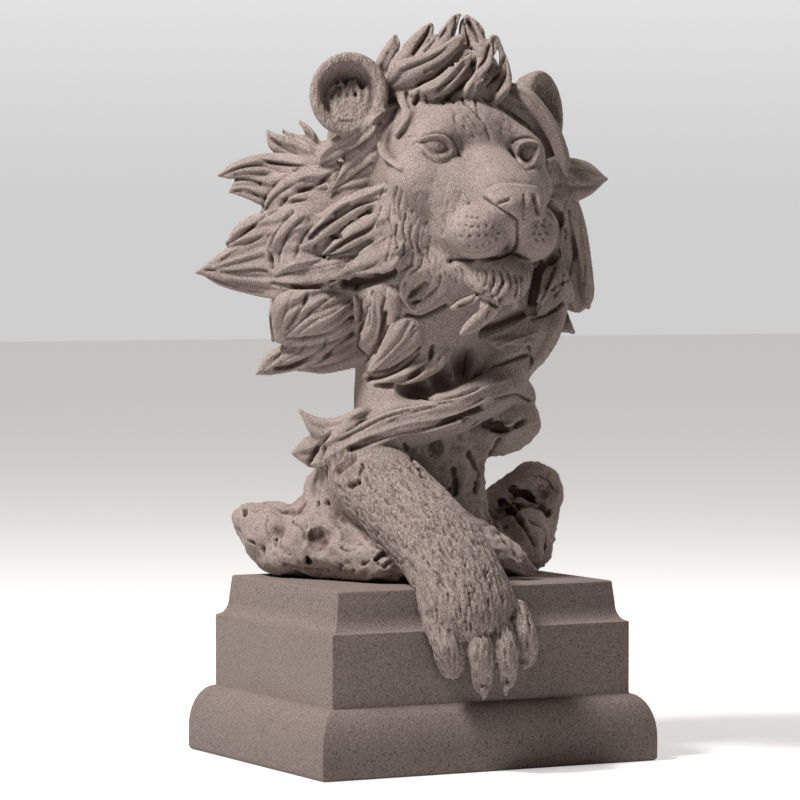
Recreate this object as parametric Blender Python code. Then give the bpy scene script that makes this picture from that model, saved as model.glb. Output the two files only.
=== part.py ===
"""A lion's head rising from rock, one forepaw over the edge of its moulded plinth: a cast sandstone ornament.

Row frame: the origin is the middle of the plinth's underside, +Z is up and the lion looks towards -Y.
The free form is set out as a carver would, on one drawing seen from the front quarter: millimetres
across the drawing, up, and towards the viewer.
"""

import math

import bmesh
import bpy
import numpy as np
from mathutils import Matrix, Vector
from mathutils.bvhtree import BVHTree

MM = 0.001

# The plinth, in metres
PLINTH_HEIGHT = 0.080
DIE_WIDTH = 0.1482
DIE_DEPTH = 0.1182
DIE_FOOT = 0.0297
DIE_HEAD = 0.0620
BASE_OVERHANG = 0.0093
BASE_LIP = 0.0130
BASE_ROUND = 0.0018
CAP_SETBACK = 0.0056
CAP_COVE = 0.0080
EDGE_SOFTENING = 0.0006
CORNER_SOFTENING = 0.0008
SEAT_GAP = 0.0003

# The drawing's viewpoint: its turn from straight ahead, its distance, height and sideways shift
DRAWING_TURN = math.radians(-27.66)
DRAWING_DISTANCE = 1852.0
DRAWING_HEIGHT = 226.5
DRAWING_SHIFT = -9.15

# The head: the bridge of the nose between the eyes (across, towards, up), and how the head is turned
BRIDGE = (32.3, 32.0, 271.2)
HEAD_TURN = math.radians(29.7)
HEAD_ROLL = math.radians(-3.5)

# How finely the form is worked, in metres, and what the cast lion may count
GRAIN = 0.0013
LION_TRIANGLES = 9300
FACE_CARE = 0.008

SANDSTONE = (0.25, 0.185, 0.15, 1.0)
CARVED_SANDSTONE = (0.29, 0.22, 0.18, 1.0)

ACROSS = Vector((math.cos(DRAWING_TURN), math.sin(DRAWING_TURN), 0.0))
TOWARD = Vector((math.sin(DRAWING_TURN), -math.cos(DRAWING_TURN), 0.0))
UP = Vector((0.0, 0.0, 1.0))


# Places on the drawing and on the head


def at(across, toward, up):
    """A point of the carving, in metres, from millimetres across, towards the viewer and up."""
    return (ACROSS * across + TOWARD * toward + UP * up) * MM


def sighted(across, up, toward):
    """The point at a depth that the drawing shows at (across, up), which is read at depth 0."""
    nearer = toward / DRAWING_DISTANCE
    return at(
        DRAWING_SHIFT + (across - DRAWING_SHIFT) * (1 - nearer),
        toward,
        DRAWING_HEIGHT + (up - DRAWING_HEIGHT) * (1 - nearer),
    )


def head_axes():
    """The head's own directions: to its left, forward out of the face, and up through the crown."""
    forward = ACROSS * math.sin(HEAD_TURN) + TOWARD * math.cos(HEAD_TURN)
    side = ACROSS * math.cos(HEAD_TURN) - TOWARD * math.sin(HEAD_TURN)
    turn = Matrix.Rotation(HEAD_ROLL, 3, forward)
    return turn @ side, turn @ forward, turn @ UP


SIDE, FORWARD, CROWN = head_axes()


def face(side, forward, up):
    """A point of the head, in metres, from millimetres in the head's own directions."""
    return at(*BRIDGE) + (SIDE * side + FORWARD * forward + CROWN * up) * MM


def smooth_path(points, steps):
    """Points along a smooth curve (Catmull-Rom) through the given ones."""
    ends = [points[0] * 2 - points[1], *points, points[-1] * 2 - points[-2]]
    path = []
    for a, b, c, d in zip(ends, ends[1:], ends[2:], ends[3:]):
        for k in range(steps):
            t = k / steps
            bend = (2 * a - 5 * b + 4 * c - d) * t * t + (3 * b - a - 3 * c + d) * t**3
            path.append(0.5 * (2 * b + (c - a) * t + bend))
    return [*path, points[-1]]


def even_path(points, count):
    """A smooth curve through drawn points, as count points evenly spaced along it."""
    path = np.array(smooth_path([np.array(p, float) for p in points], 8))
    run = np.concatenate(([0.0], np.cumsum(np.linalg.norm(np.diff(path, axis=0), axis=1))))
    where = np.linspace(0, run[-1], count)
    return np.stack([np.interp(where, run, path[:, k]) for k in range(path.shape[1])], axis=1)


# Closed shapes that are merged into one


def unit_ball(divisions):
    """The corners and triangles of a ball of radius 1."""
    work = bmesh.new()
    bmesh.ops.create_icosphere(work, subdivisions=divisions, radius=1.0)
    corners = np.array([list(v.co) for v in work.verts])
    faces = [[v.index for v in f.verts] for f in work.faces]
    work.free()
    return corners, np.array(faces)


class Heap:
    """Closed shapes lying in and through one another, before they become one skin."""

    BALLS = {n: unit_ball(n) for n in (2, 3, 4)}

    def __init__(self):
        self.corners = []
        self.faces = []
        self.count = 0

    def add(self, corners, faces):
        self.corners.append(np.asarray(corners, float))
        self.faces += [[c + self.count for c in f] for f in faces]
        self.count += len(corners)

    def ball(self, centre, radii, axes=((1, 0, 0), (0, 1, 0), (0, 0, 1)), divisions=4):
        """An ellipsoid with a radius, in metres, along each of three axes."""
        corners, faces = self.BALLS[divisions]
        turned = (corners * radii) @ np.array([list(a) for a in axes])
        self.add(turned + np.array(centre), faces.tolist())

    def string(self, path, sizes, divisions=3):
        """A chain of balls along a path that runs together into one limb."""
        for point, size in zip(path, sizes):
            self.ball(point, (size, size, size), divisions=divisions)

    def skin_rings(self, rings):
        """Faces between successive rings of points, closed at both ends."""
        count = len(rings[0])
        faces = []
        for row in range(len(rings) - 1):
            for k in range(count):
                here, after = row * count + k, row * count + (k + 1) % count
                faces.append([here, after, after + count, here + count])
        faces.append(list(range(count))[::-1])
        faces.append([(len(rings) - 1) * count + k for k in range(count)])
        self.add([list(p) for ring in rings for p in ring], faces)

    def mesh(self, name):
        made = bpy.data.meshes.new(name)
        made.from_pydata(np.concatenate(self.corners).tolist(), [], self.faces)
        work = bmesh.new()
        work.from_mesh(made)
        bmesh.ops.recalc_face_normals(work, faces=work.faces[:])
        work.to_mesh(made)
        work.free()
        return made


class Flesh:
    """Rounded masses that grow into each other, as clay would be built up."""

    def __init__(self, blend):
        self.blend = blend
        self.shapes = Heap()
        self.balls = []
        self.limbs = []

    def ball(self, centre, radii, axes):
        """An ellipsoid with its radii, in millimetres, along three axes."""
        self.shapes.ball(centre, [r * MM for r in radii], axes)
        self.balls.append((centre, [r * MM for r in radii], axes))

    def mass(self, across, up, toward, radii):
        """An ellipsoid of the drawing: radii across, towards the viewer and up."""
        self.ball(sighted(across, up, toward), radii, (ACROSS, TOWARD, UP))

    def head_mass(self, place, radii, both=False):
        """An ellipsoid of the head, and its twin on the other side if it has one."""
        for hand in (1, -1) if both else (1,):
            self.ball(face(place[0] * hand, *place[1:]), radii, (SIDE, FORWARD, CROWN))

    def limb(self, points, radii):
        """A round-ended limb through points, with a radius in millimetres at each."""
        path = smooth_path(points, 4)
        spots = np.linspace(0, len(radii) - 1, len(path))
        sizes = np.interp(spots, np.arange(len(radii)), radii) * MM
        for a, b, start, end in zip(path, path[1:], sizes, sizes[1:]):
            self.limbs.append((a, b, start, end))
        self.shapes.string(path, sizes)

    def reach(self, spots):
        """How far each spot is outside the blended masses (inside is negative)."""
        total = np.zeros(len(spots))
        for centre, radii, axes in self.balls:
            local = (spots - np.array(centre)) @ np.array([list(a) for a in axes]).T / radii
            far = np.linalg.norm(local, axis=1)
            steep = np.linalg.norm(local / radii, axis=1)
            total += np.exp(-np.clip(far * (far - 1) / np.maximum(steep, 1e-9), -0.03, 0.03) / self.blend)
        for a, b, start, end in self.limbs:
            run = np.array(b - a)
            from_a = spots - np.array(a)
            t = np.clip(from_a @ run / max(run @ run, 1e-12), 0, 1)
            off = np.linalg.norm(from_a - t[:, None] * run, axis=1) - (start + (end - start) * t)
            total += 0.5 * np.exp(-np.clip(off, -0.03, 0.03) / self.blend)
        return -self.blend * np.log(total + 1e-30)

    def grown(self, grain):
        """The masses as one mesh with soft joins."""
        mesh = evaluated(one_skin("flesh", self.shapes, grain))
        for _ in range(4):
            spots, normals = read_spots(mesh), read_normals(mesh)
            off = np.clip(self.reach(spots), -0.004, 0.004)
            write_spots(mesh, spots - normals * off[:, None] * 0.8)
            mesh = evaluated(relaxed(mesh, 2))
        return mesh


def relaxed(mesh, rounds):
    """The mesh on an object that evens it out a little."""
    obj = bpy.data.objects.new("relaxed", mesh)
    bpy.context.scene.collection.objects.link(obj)
    smooth = obj.modifiers.new("even", "SMOOTH")
    smooth.factor = 0.5
    smooth.iterations = rounds
    return obj


def one_skin(name, shapes, grain):
    """All the closed shapes as one skin of an even grain."""
    obj = bpy.data.objects.new(name, shapes.mesh(name))
    bpy.context.scene.collection.objects.link(obj)
    remesh = obj.modifiers.new("one skin", "REMESH")
    remesh.mode = "VOXEL"
    remesh.voxel_size = grain
    return obj


def evaluated(obj):
    """The mesh as the object's modifiers leave it; the object goes."""
    graph = bpy.context.evaluated_depsgraph_get()
    made = bpy.data.meshes.new_from_object(obj.evaluated_get(graph), depsgraph=graph)
    old = obj.data
    bpy.data.objects.remove(obj)
    bpy.data.meshes.remove(old)
    return made


def read_spots(mesh):
    """The mesh's points, one row each."""
    spots = np.empty(len(mesh.vertices) * 3)
    mesh.vertices.foreach_get("co", spots)
    return spots.reshape(-1, 3)


def read_normals(mesh):
    """The direction out of the mesh at each of its points."""
    normals = np.empty(len(mesh.vertices) * 3)
    mesh.vertices.foreach_get("normal", normals)
    return normals.reshape(-1, 3)


def write_spots(mesh, spots):
    """Moves the mesh's points to the given ones."""
    mesh.vertices.foreach_set("co", spots.ravel())
    mesh.update()


def surface_of(mesh):
    """The mesh as a surface that lines of sight can meet."""
    return BVHTree.FromPolygons(
        [v.co.copy() for v in mesh.vertices], [tuple(p.vertices) for p in mesh.polygons]
    )


class Clay:
    """A mesh under the modelling tools: strokes laid along lines found on its surface."""

    def __init__(self, mesh):
        """Takes up the mesh."""
        self.mesh = mesh
        self.settle()

    def settle(self):
        """Reads the surface again after it has been worked."""
        self.spots = read_spots(self.mesh)
        self.normals = read_normals(self.mesh)
        self.surface = surface_of(self.mesh)

    def on_face(self, line):
        """Where a line given as (side, up) on the face lies on the surface."""
        hits = [self.surface.ray_cast(face(x, 70, z), -FORWARD)[0] for x, z in line]
        return [h for h in hits if h is not None]

    def on_drawing(self, line):
        """Where a line given as (across, up) on the drawing lies on the surface."""
        hits = []
        for x, z in line:
            start = sighted(x, z, 110)
            hits.append(self.surface.ray_cast(start, (sighted(x, z, 0) - start).normalized())[0])
        return [h for h in hits if h is not None]

    def stroke(self, line, width, height, power=2.0, push=None):
        """Raises (or, below zero, cuts) a round-edged stroke of a width and height in millimetres."""
        if len(line) == 0:
            return
        line = np.array([list(p) for p in line])
        width *= MM
        low, high = line.min(axis=0) - width, line.max(axis=0) + width
        near = np.flatnonzero(((self.spots > low) & (self.spots < high)).all(axis=1))
        if len(near) == 0:
            return
        spots = self.spots[near]
        best = np.linalg.norm(spots - line[0], axis=1)
        for a, b in zip(line, line[1:]):
            run = b - a
            if run @ run > 0.006**2:
                run = run * 0
            t = np.clip((spots - a) @ run / max(run @ run, 1e-12), 0, 1)
            best = np.minimum(best, np.linalg.norm(spots - a - t[:, None] * run, axis=1))
        share = np.clip(1 - (best / width) ** 2, 0, 1) ** power
        aim = self.normals[near] if push is None else np.array(push)[None, :]
        self.spots[near] = spots + aim * (share * height * MM)[:, None]

    def draw(self, lines):
        """Strokes from the drawing, each with its half width and its height in millimetres."""
        for line, width, height in lines:
            length = np.linalg.norm(np.diff(np.array(line), axis=0), axis=1).sum()
            places = even_path(line, max(4, round(length / 1.5)))
            self.stroke(self.on_drawing(places.tolist()), width, height)

    def done(self):
        """Writes the worked surface back and reads it again."""
        write_spots(self.mesh, self.spots)
        self.settle()


# The head and the body under the hair


def add_head(flesh):
    """The bare head: skull, brow, bridge, cheekbones, muzzle, chin and jaw."""
    flesh.head_mass((0, -47, -4), (41, 40, 33))
    flesh.head_mass((0, -21, 4), (24, 13, 17))
    flesh.head_mass((17, -16, 6), (11, 7, 6), both=True)
    flesh.head_mass((25, -18, -15), (14, 16, 14), both=True)
    flesh.limb([face(4, -9, -8), face(4, 7, -16), face(4, 21, -25.5)], (9.5, 9, 8))
    flesh.limb([face(-4, -9, -8), face(-4, 7, -16), face(-4, 21, -25.5)], (9.5, 9, 8))
    flesh.head_mass((11, -3, -23), (11, 16, 13), both=True)
    flesh.head_mass((16, -5, -21), (12, 12, 15), both=True)
    flesh.head_mass((13, 12, -37), (12.5, 12.5, 11.5), both=True)
    flesh.head_mass((14, -4, -35), (10, 14, 11), both=True)
    flesh.head_mass((0, 22.5, -25), (12, 7.5, 6))
    flesh.head_mass((0, 20, -31), (6, 6, 7))
    flesh.head_mass((0, 11, -57), (13.5, 12, 11.5))
    flesh.limb([face(0, 4, -54), face(16, -24, -50)], (9, 13))
    flesh.limb([face(0, 4, -54), face(-16, -24, -50)], (9, 13))
    flesh.head_mass((23, -32, -34), (16, 20, 22), both=True)


def add_body(flesh):
    """The masses under the mane, the neck and the hair that sweeps round its foot."""
    flesh.mass(8, 297, -8, (30, 26, 16))
    flesh.mass(12, 308, -8, (23, 16, 13))
    flesh.mass(-34, 232, -18, (38, 28, 46))
    flesh.mass(-44, 203, -14, (22, 20, 26))
    flesh.mass(-26, 246, -4, (14, 18, 34))
    flesh.mass(-4, 246, -32, (44, 30, 54))
    flesh.mass(-4, 205, -22, (34, 26, 34))
    flesh.mass(42, 262, -32, (20, 26, 30))
    flesh.mass(54, 230, -32, (15, 24, 36))
    flesh.mass(28, 196, -16, (26, 16, 30))
    flesh.limb([at(2, -10, 215), at(-2, -13, 178), at(-4, -10, 150)], (36, 25, 26))
    flesh.limb([at(58, -14, 212), at(52, -10, 190), at(38, -4, 172)], (10, 10, 8))
    flesh.limb([at(40, -2, 168), at(18, 12, 156), at(-8, 14, 149), at(-34, 8, 142)], (8, 9, 10, 9))


def add_foreleg(flesh):
    """The foreleg that leaves the rock and hangs over the edge, down to the paw's pad."""
    run = [at(-30, 2, 132), at(-11, 26, 116), at(9, 48, 96), at(19, 59, 77), at(22, 64, 66)]
    flesh.limb(run, (17, 18.5, 18.5, 18.5, 16))
    flesh.mass(22, 66, 63, (21, 14, 12))


# Each toe: base, knuckle and tip (across, up), its radius and how far it stands towards the viewer
TOES = (
    ((9.0, 60.0), (13.2, 49.0), (14.2, 39.8), 8.2, 71),
    ((26.0, 54.5), (27.7, 44.2), (27.9, 31.8), 6.0, 76),
    ((36.3, 57.0), (38.8, 45.2), (39.2, 33.9), 5.7, 74),
    ((42.6, 64.5), (46.9, 52.9), (48.0, 43.7), 6.0, 67),
)
# Each claw: root and tip (across, up)
CLAWS = (
    ((16.3, 38.0), (16.2, 33.4)),
    ((28.6, 29.6), (29.0, 25.0)),
    ((38.8, 31.4), (38.4, 27.6)),
    ((46.8, 41.0), (46.2, 38.8)),
)
# The eyeballs: the place of the left one on the head, their radius, and how thick the lids are
EYE = (23.0, -12.7, 0.0)
EYE_RADIUS = 8.2
LID = 1.1


def add_eyes(flesh):
    """The eyes under their closed lids, which are opened on the finished skin."""
    over = EYE_RADIUS + LID
    flesh.head_mass(EYE, (over, over, over), both=True)


def add_toes(shapes):
    """Four toes, apart from one another, each with the blunt tip of its claw."""
    for (base, knuckle, tip, radius, depth), (root, point) in zip(TOES, CLAWS):
        line = [sighted(*base, depth - 4), sighted(*knuckle, depth + 1), sighted(*tip, depth - 3)]
        path = smooth_path(line, 7)
        shapes.string(path, radius * (1 - 0.30 * np.linspace(0, 1, len(path)) ** 3) * MM)
        nail = [sighted(*root, depth + 0.5), sighted(*point, depth - 2)]
        shapes.string(smooth_path(nail, 6), np.linspace(2.0, 1.1, 7) * MM, divisions=2)


def model_face(clay):
    """The sockets, nose, mouth and cheeks, worked into the head."""
    for hand in (1, -1):
        clay.stroke(clay.on_face([(hand * 12, -4), (hand * 11.5, -8), (hand * 13, -14)]), 6, -1.0)
        clay.stroke(clay.on_face([(hand * 33, 6), (hand * 26, 9.5), (hand * 19, 8)]), 4.5, -1.0)
    for wing, width, depth in (
        (((14.5, -22), (12, -26.5), (7, -32), (1.5, -35.5)), 3.0, -1.6),
        (((2, -45), (7, -48.5), (13, -49.5), (19, -49), (22, -47.5)), 2.8, -2.0),
    ):
        clay.stroke(clay.on_face(list(wing)), width, depth)
    clay.done()


def hollow_throat(clay):
    """The deep hollow under the jaw, above the strands that sweep round the neck."""
    line = clay.on_drawing([(-1, 165), (8.8, 170), (19, 176), (27, 181.5)])
    clay.stroke(line, 11.5, -14, push=TOWARD)
    clay.done()


# Leaves of hair: the upper and the lower edge, each from root to tip

LEFT_LOCKS = (
    (((-46, 279), (-51, 284), (-54.5, 285)), ((-44, 270), (-51, 278), (-54.5, 285))),
    (((-48, 278), (-58, 280), (-62, 281)), ((-46, 266), (-57, 273), (-62, 281))),
    (((-48, 276), (-62, 279), (-69, 281)), ((-46, 260), (-60, 267), (-68, 273), (-69, 281))),
    (
        ((-42, 268), (-62, 271), (-75, 270), (-84, 266.5), (-91, 261)),
        ((-42, 248), (-62, 256), (-75, 258), (-84, 258.5), (-91, 260)),
        1.5,
    ),
    (
        ((-48, 262), (-68, 262), (-82, 259), (-86, 253.5)),
        ((-46, 240), (-64, 244), (-78, 250), (-86, 253)),
    ),
    (
        ((-42, 252), (-62, 247), (-76, 243), (-84, 237), (-87.5, 230)),
        ((-42, 232), (-62, 228), (-76, 227), (-84, 228), (-87.5, 230)),
        2.5,
    ),
    (
        ((-40, 240), (-65, 238), (-82, 231), (-90, 226), (-97, 220.5), (-101, 217)),
        ((-40, 203), (-65, 205), (-80, 208), (-90, 211), (-96, 214.5), (-101, 217)),
    ),
    (
        ((-38, 214), (-54, 211), (-65, 206), (-67, 196), (-65, 186)),
        ((-26, 198), (-38, 188), (-50, 184), (-60, 184), (-65, 186)),
        2.5,
    ),
    (
        ((-26, 198), (-45, 191), (-60, 186), (-69, 181), (-74, 172)),
        ((-24, 180), (-40, 176), (-55, 173), (-66, 171), (-74, 171)),
    ),
    (
        ((-22, 188), (-34, 185), (-45, 179), (-56, 174)),
        ((-22, 176), (-32, 173.5), (-44, 171.5), (-56, 173)),
    ),
)
LEFT_INNER_LOCKS = (
    (
        ((-46, 252), (-58, 245), (-68, 233), (-70, 222), (-68, 213)),
        ((-36, 236), (-48, 230), (-57, 224), (-63, 218), (-68, 213)),
    ),
    (
        ((-22, 270), (-38, 267), (-55, 263), (-66, 255), (-72, 244)),
        ((-22, 254), (-38, 254), (-52, 254), (-63, 249), (-72, 243)),
    ),
    (
        ((-28, 229), (-40, 224), (-52, 222), (-62, 219), (-68, 212.5)),
        ((-26, 214), (-40, 210), (-54, 210.5), (-61, 211), (-68, 212)),
    ),
    (((-28, 206), (-44, 197), (-55, 190), (-63, 187)), ((-26, 192), (-40, 186), (-52, 185), (-63, 186))),
)
CHEEK_LOCKS = (
    (
        ((-18, 281), (-29, 273), (-37, 264), (-42.5, 253)),
        ((-16, 268), (-26, 261), (-34, 255), (-42, 252.5)),
    ),
    (
        ((-14, 259), (-28, 254), (-41, 247), (-50, 239), (-52, 230)),
        ((-14, 249), (-25, 244), (-35, 237), (-44, 229), (-51, 229)),
    ),
    (
        ((-15, 247), (-27, 242), (-36, 235), (-44, 225.5)),
        ((-13, 236), (-25, 231), (-35, 226), (-43.5, 224.5)),
    ),
    (
        ((-6, 236), (-18, 232), (-27, 226), (-34.5, 218)),
        ((-6, 221), (-17, 216), (-26, 215.5), (-34, 216.5)),
    ),
)
# The lock that crosses the foot of the near ear, and how far it stands towards the viewer from root to tip
EAR_LOCK = (
    ((-7, 297), (-21.7, 288.3), (-31.6, 281.5), (-40.1, 277), (-45.2, 271.2), (-46.1, 264)),
    ((-11, 286), (-18.1, 278.5), (-27.1, 271.7), (-37, 267.2), (-45.6, 263.6)),
    (16, 22, 24, 20, 13, 6),
)
JAW_LOCKS = (
    (((-31, 212), (-30, 200), (-29, 190)), ((-26, 212), (-26, 200), (-28.5, 190))),
    (((-25, 211), (-24, 197), (-30, 185)), ((-16, 208), (-16, 193), (-21, 183), (-29.5, 184))),
    (((-16, 212), (-15, 202), (-13, 195)), ((-9, 212), (-9, 202), (-12, 195))),
    (((-10, 202), (-16, 189), (-21, 179), (-26.5, 170)), ((6, 192), (-4, 180), (-15, 173), (-26, 169.5))),
    (((14, 191), (6, 182), (-7, 174), (-22, 167)), ((17, 183), (9, 173), (-4, 167), (-21, 166))),
    (((-3, 223), (-9, 214), (-9, 206), (-3, 199)), ((3, 219), (-3, 212), (-4, 206), (-2.5, 199.5))),
    (((10, 215), (4, 211), (0, 206), (-3, 200)), ((14, 210), (8, 205), (3, 201), (-2.5, 199.5))),
)
CHIN_TUFTS = (
    (
        ((27, 208.5), (21, 206.5), (16, 204), (13.4, 200.8)),
        ((28, 205), (22.3, 202), (17.8, 200.2), (13.8, 200.4)),
        1.5,
    ),
    (((30, 206), (26, 199), (21, 194), (17.5, 189.5)), ((38, 204), (31, 197), (24, 191.5), (18.5, 188.8))),
    (((34, 216), (32, 208), (34, 202)), ((41, 216), (40, 208), (35, 201))),
    (((39, 216), (39, 208), (42, 200.5)), ((47, 216), (47, 208), (43, 200))),
)
FORELOCK = (
    (
        ((-7.7, 309), (2.1, 319.3), (9.6, 326.8), (14, 332), (17.8, 333.2)),
        ((5.8, 307), (11.1, 316.3), (15.5, 323), (17, 328.3), (18.2, 333)),
        -0.5,
    ),
    (
        ((14, 312), (16.5, 322), (17.4, 329), (20, 332.8)),
        ((29, 309), (30.5, 320), (27.4, 327.8), (21.4, 332.6)),
        -1.5,
    ),
    (
        ((-22.6, 308), (-18, 316), (-13.6, 321.9), (-11.4, 323.8)),
        ((-14.4, 304), (-11.4, 312), (-8.8, 319), (-11, 323.6)),
        -1.0,
    ),
    (
        ((-18, 305), (-9.2, 317.8), (-1.7, 325.3), (3.6, 328.8), (5.4, 328.6)),
        ((-4, 304), (1.3, 315), (5.1, 321.5), (6.2, 326), (5.7, 328.4)),
        1.0,
    ),
    (
        ((23, 293), (29.8, 302), (34.2, 308), (35, 314.2), (33.3, 323.6)),
        ((37, 291.5), (41, 300.6), (40.6, 308.1), (37.6, 316.3), (33.7, 323.3)),
        0.5,
    ),
    (
        ((15.5, 296), (20.8, 304.3), (23, 309.6), (26.8, 316.5), (31.9, 323.8)),
        ((25.3, 295), (29.4, 305.8), (33, 311.8), (34.4, 317.8), (32.4, 323.7)),
        1.5,
    ),
    (
        ((-6.9, 298.5), (5.8, 303.8), (14, 310.5), (19.3, 315.4), (22.7, 316.9)),
        ((1, 293), (11.1, 297), (18.5, 304.8), (22.6, 311), (23.2, 316.4)),
        2.0,
    ),
    (
        ((-18.1, 304), (-11.4, 311.3), (-0.2, 315), (8.8, 318.8), (14.8, 322.9), (19.3, 324)),
        ((-9.2, 296.5), (-0.2, 301.5), (8.8, 307.8), (16.3, 314.8), (20.2, 320), (19.7, 323.7)),
        4.0,
    ),
)
RIGHT_LOCKS = (
    (
        ((38, 305), (50, 299), (61, 285), (67, 270), (66, 260)),
        ((38, 296), (49, 288), (57, 277), (61, 267), (65, 260)),
    ),
    (
        ((54, 271), (66, 269), (75, 267), (80, 263), (84, 259)),
        ((54, 250), (65, 248), (72, 249.5), (78, 253), (84, 259)),
    ),
    (
        ((66, 204), (65, 195), (61, 185), (55, 176), (44, 168)),
        ((54, 204), (50, 192), (46, 182), (38, 172), (40, 167)),
    ),
    (((60, 197), (52, 191), (42, 189), (31, 187)), ((58, 184), (50, 179), (40, 180.5), (30.5, 184.5))),
    (((52, 186), (43, 178), (34, 174), (25.5, 166.5)), ((50, 172), (42, 165), (33, 162), (25, 164))),
)
CURTAIN = (
    (
        ((60, 264), (69, 253), (74, 240), (77, 222), (78, 206), (73, 199)),
        ((50, 244), (54, 232), (57, 222), (58, 212), (60, 204), (68, 199)),
    ),
)
CURTAIN_FOLDS = (
    (
        ((56, 254), (64, 253), (70, 243), (75, 228), (77, 212), (77, 201)),
        ((56, 246), (64, 244), (68, 234), (71, 222), (73, 210), (74, 200)),
    ),
    (
        ((52, 253), (61, 252), (66, 245), (65, 232), (63, 218), (57, 204)),
        ((50, 244), (58, 243), (61, 235), (60, 225), (56, 213), (50, 203)),
    ),
    (((63, 226), (66, 218), (69, 210), (70, 205)), ((57, 218), (60, 210), (62, 204), (64, 202))),
)
BROW_LOCKS = (
    (
        ((28, 302), (42, 297), (54, 287), (62, 275), (64.5, 262)),
        ((30, 293), (40, 289), (50, 281), (56, 270), (60, 259)),
    ),
    (((-6, 299), (-3, 291), (-5, 284), (-11, 278)), ((-13, 298), (-9, 291), (-9, 285), (-12, 279))),
    (((-9, 286), (-14, 278), (-14, 270), (-8, 264)), ((-16, 286), (-19.5, 278), (-18, 269), (-9, 263))),
)
SWIRL_LOCKS = (
    (
        ((46, 171), (30, 162), (16, 156), (0, 153), (-15, 149), (-28, 144), (-40, 138), (-51, 131)),
        ((42, 160), (30, 152), (12, 146), (-8, 143), (-20, 139), (-32, 135), (-44, 129), (-51, 129)),
    ),
    (
        ((46, 174), (30, 167), (20, 162), (0, 158), (-15, 155), (-26, 150), (-37, 143), (-46, 135)),
        ((46, 167), (30, 160), (18, 155), (0, 151.5), (-15, 148), (-26, 143), (-38, 137), (-46, 133)),
    ),
    (
        ((-22, 160), (-36, 153), (-46, 152.5), (-54.5, 156)),
        ((-24, 144), (-38, 140), (-49, 144), (-54.5, 155)),
    ),
    (((-26, 152), (-40, 148), (-51, 144), (-58, 137)), ((-26, 138), (-38, 132), (-48, 129), (-58, 135))),
)


class Hair:
    """Leaves of hair laid over a surface, as seen on the drawing or from behind it."""

    def __init__(self, shapes, surface, behind=False, nearest=200.0):
        """Takes the heap that the hair goes on and the surface that it lies over."""
        self.shapes = shapes
        self.surface = surface
        self.hand = -1 if behind else 1
        self.nearest = nearest

    def depth_at(self, across, up):
        """How far towards the viewer the surface stands behind a point of the drawing."""
        start = sighted(across, up, 150 * self.hand)
        aim = (sighted(across, up, 0) - start).normalized()
        hit = self.surface.ray_cast(start, aim)[0]
        return None if hit is None else min(hit.dot(TOWARD) / MM, self.nearest)

    def depths(self, middles, lift, trail):
        """Depths under a leaf's middle line, carried on past the edge of the surface."""
        found = []
        for across, up in middles:
            depth = self.depth_at(across, up)
            if depth is None:
                depth = (found[-1] - trail * self.hand) if found else 0.0
            elif found:
                depth = min(max(depth, found[-1] - 4.5), found[-1] + 4.5)
            found.append(depth)
        padded = np.pad(np.array(found), 2, mode="edge")
        calm = np.convolve(padded, np.array((1, 2, 3, 2, 1)) / 9, mode="valid")
        return calm + lift * self.hand

    def leaf(self, upper, lower, lift=1.0, hold=False, plump=0.30, over=(), trail=0.3, count=18, sides=30):
        """One lock between its two drawn edges, rounded towards the viewer, with flutes along it."""
        top, bottom = even_path(upper, count), even_path(lower, count)
        middles = (top + bottom) / 2
        rings = []
        flutes = max(2, round(np.linalg.norm(top - bottom, axis=1).max() / 7.0))
        under = self.depths(middles, lift, trail)
        if hold:
            under = under[2] + (under - under[2]) * 0.12
        if over:
            under = even_path([(k, depth) for k, depth in enumerate(over)], count)[:, 1]
        way = np.array((0.0, 1.0))
        for i, depth in enumerate(under):
            along = i / (count - 1)
            root = max(0.0, 1 - along / 0.28)
            gap = (bottom[i] - top[i]) / 2
            size = math.hypot(*gap)
            if size > 0.9 or i == 0:
                way = gap / max(size, 1e-6)
            half = max(size, 1.35)
            rise = half * plump + 0.9
            half *= 1 - 0.45 * root**2
            depth -= (rise + 2.0) * root**1.5 * self.hand
            ring = []
            for k in range(sides):
                angle = 2 * math.pi * k / sides
                x, y = math.cos(angle), math.sin(angle)
                if y > 0:
                    dip = 0.5 - 0.5 * math.cos(flutes * math.pi * (x + 1))
                    y -= min(1.1 / rise, 0.35) * dip * y
                spot = middles[i] + way * half * x
                ring.append(sighted(spot[0], spot[1], depth + rise * y * self.hand))
            rings.append(ring)
        self.shapes.skin_rings(rings)


def ear_frames():
    """Each ear's middle and its directions: out of its opening, across it and up it."""
    frames = []
    for hand in (1, -1):
        outward = (FORWARD * 0.84 + SIDE * (0.50 * hand) + CROWN * 0.12).normalized()
        across = CROWN.cross(outward).normalized()
        frames.append((face(49.5 * hand, -45, 21.8), outward, across, outward.cross(across).normalized()))
    return frames


# The ear's section: how far out of its middle, and how far from its axis, from the back to the recess
EAR_SECTION = (
    (-12, 5), (-11, 11), (-6, 15.8), (-1, 17.3), (2.4, 17.6), (4.2, 16.4), (4.4, 14.2), (3.2, 12.4),
    (-0.5, 11.2), (-5, 9.6), (-7.6, 6.5), (-8.2, 2),
)


def add_ears(shapes):
    """Two round ears with thick rims, cupped towards the front."""
    circle = [2 * math.pi * j / 32 for j in range(32)]
    for centre, outward, across, upward in ear_frames():
        rings = []
        for out, size in EAR_SECTION:
            turns = [across * (math.cos(a) * size) + upward * (math.sin(a) * size * 1.08) for a in circle]
            rings.append([list(centre + (outward * out + turn) * MM) for turn in turns])
        shapes.skin_rings(np.array(rings))


# The rock


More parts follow.
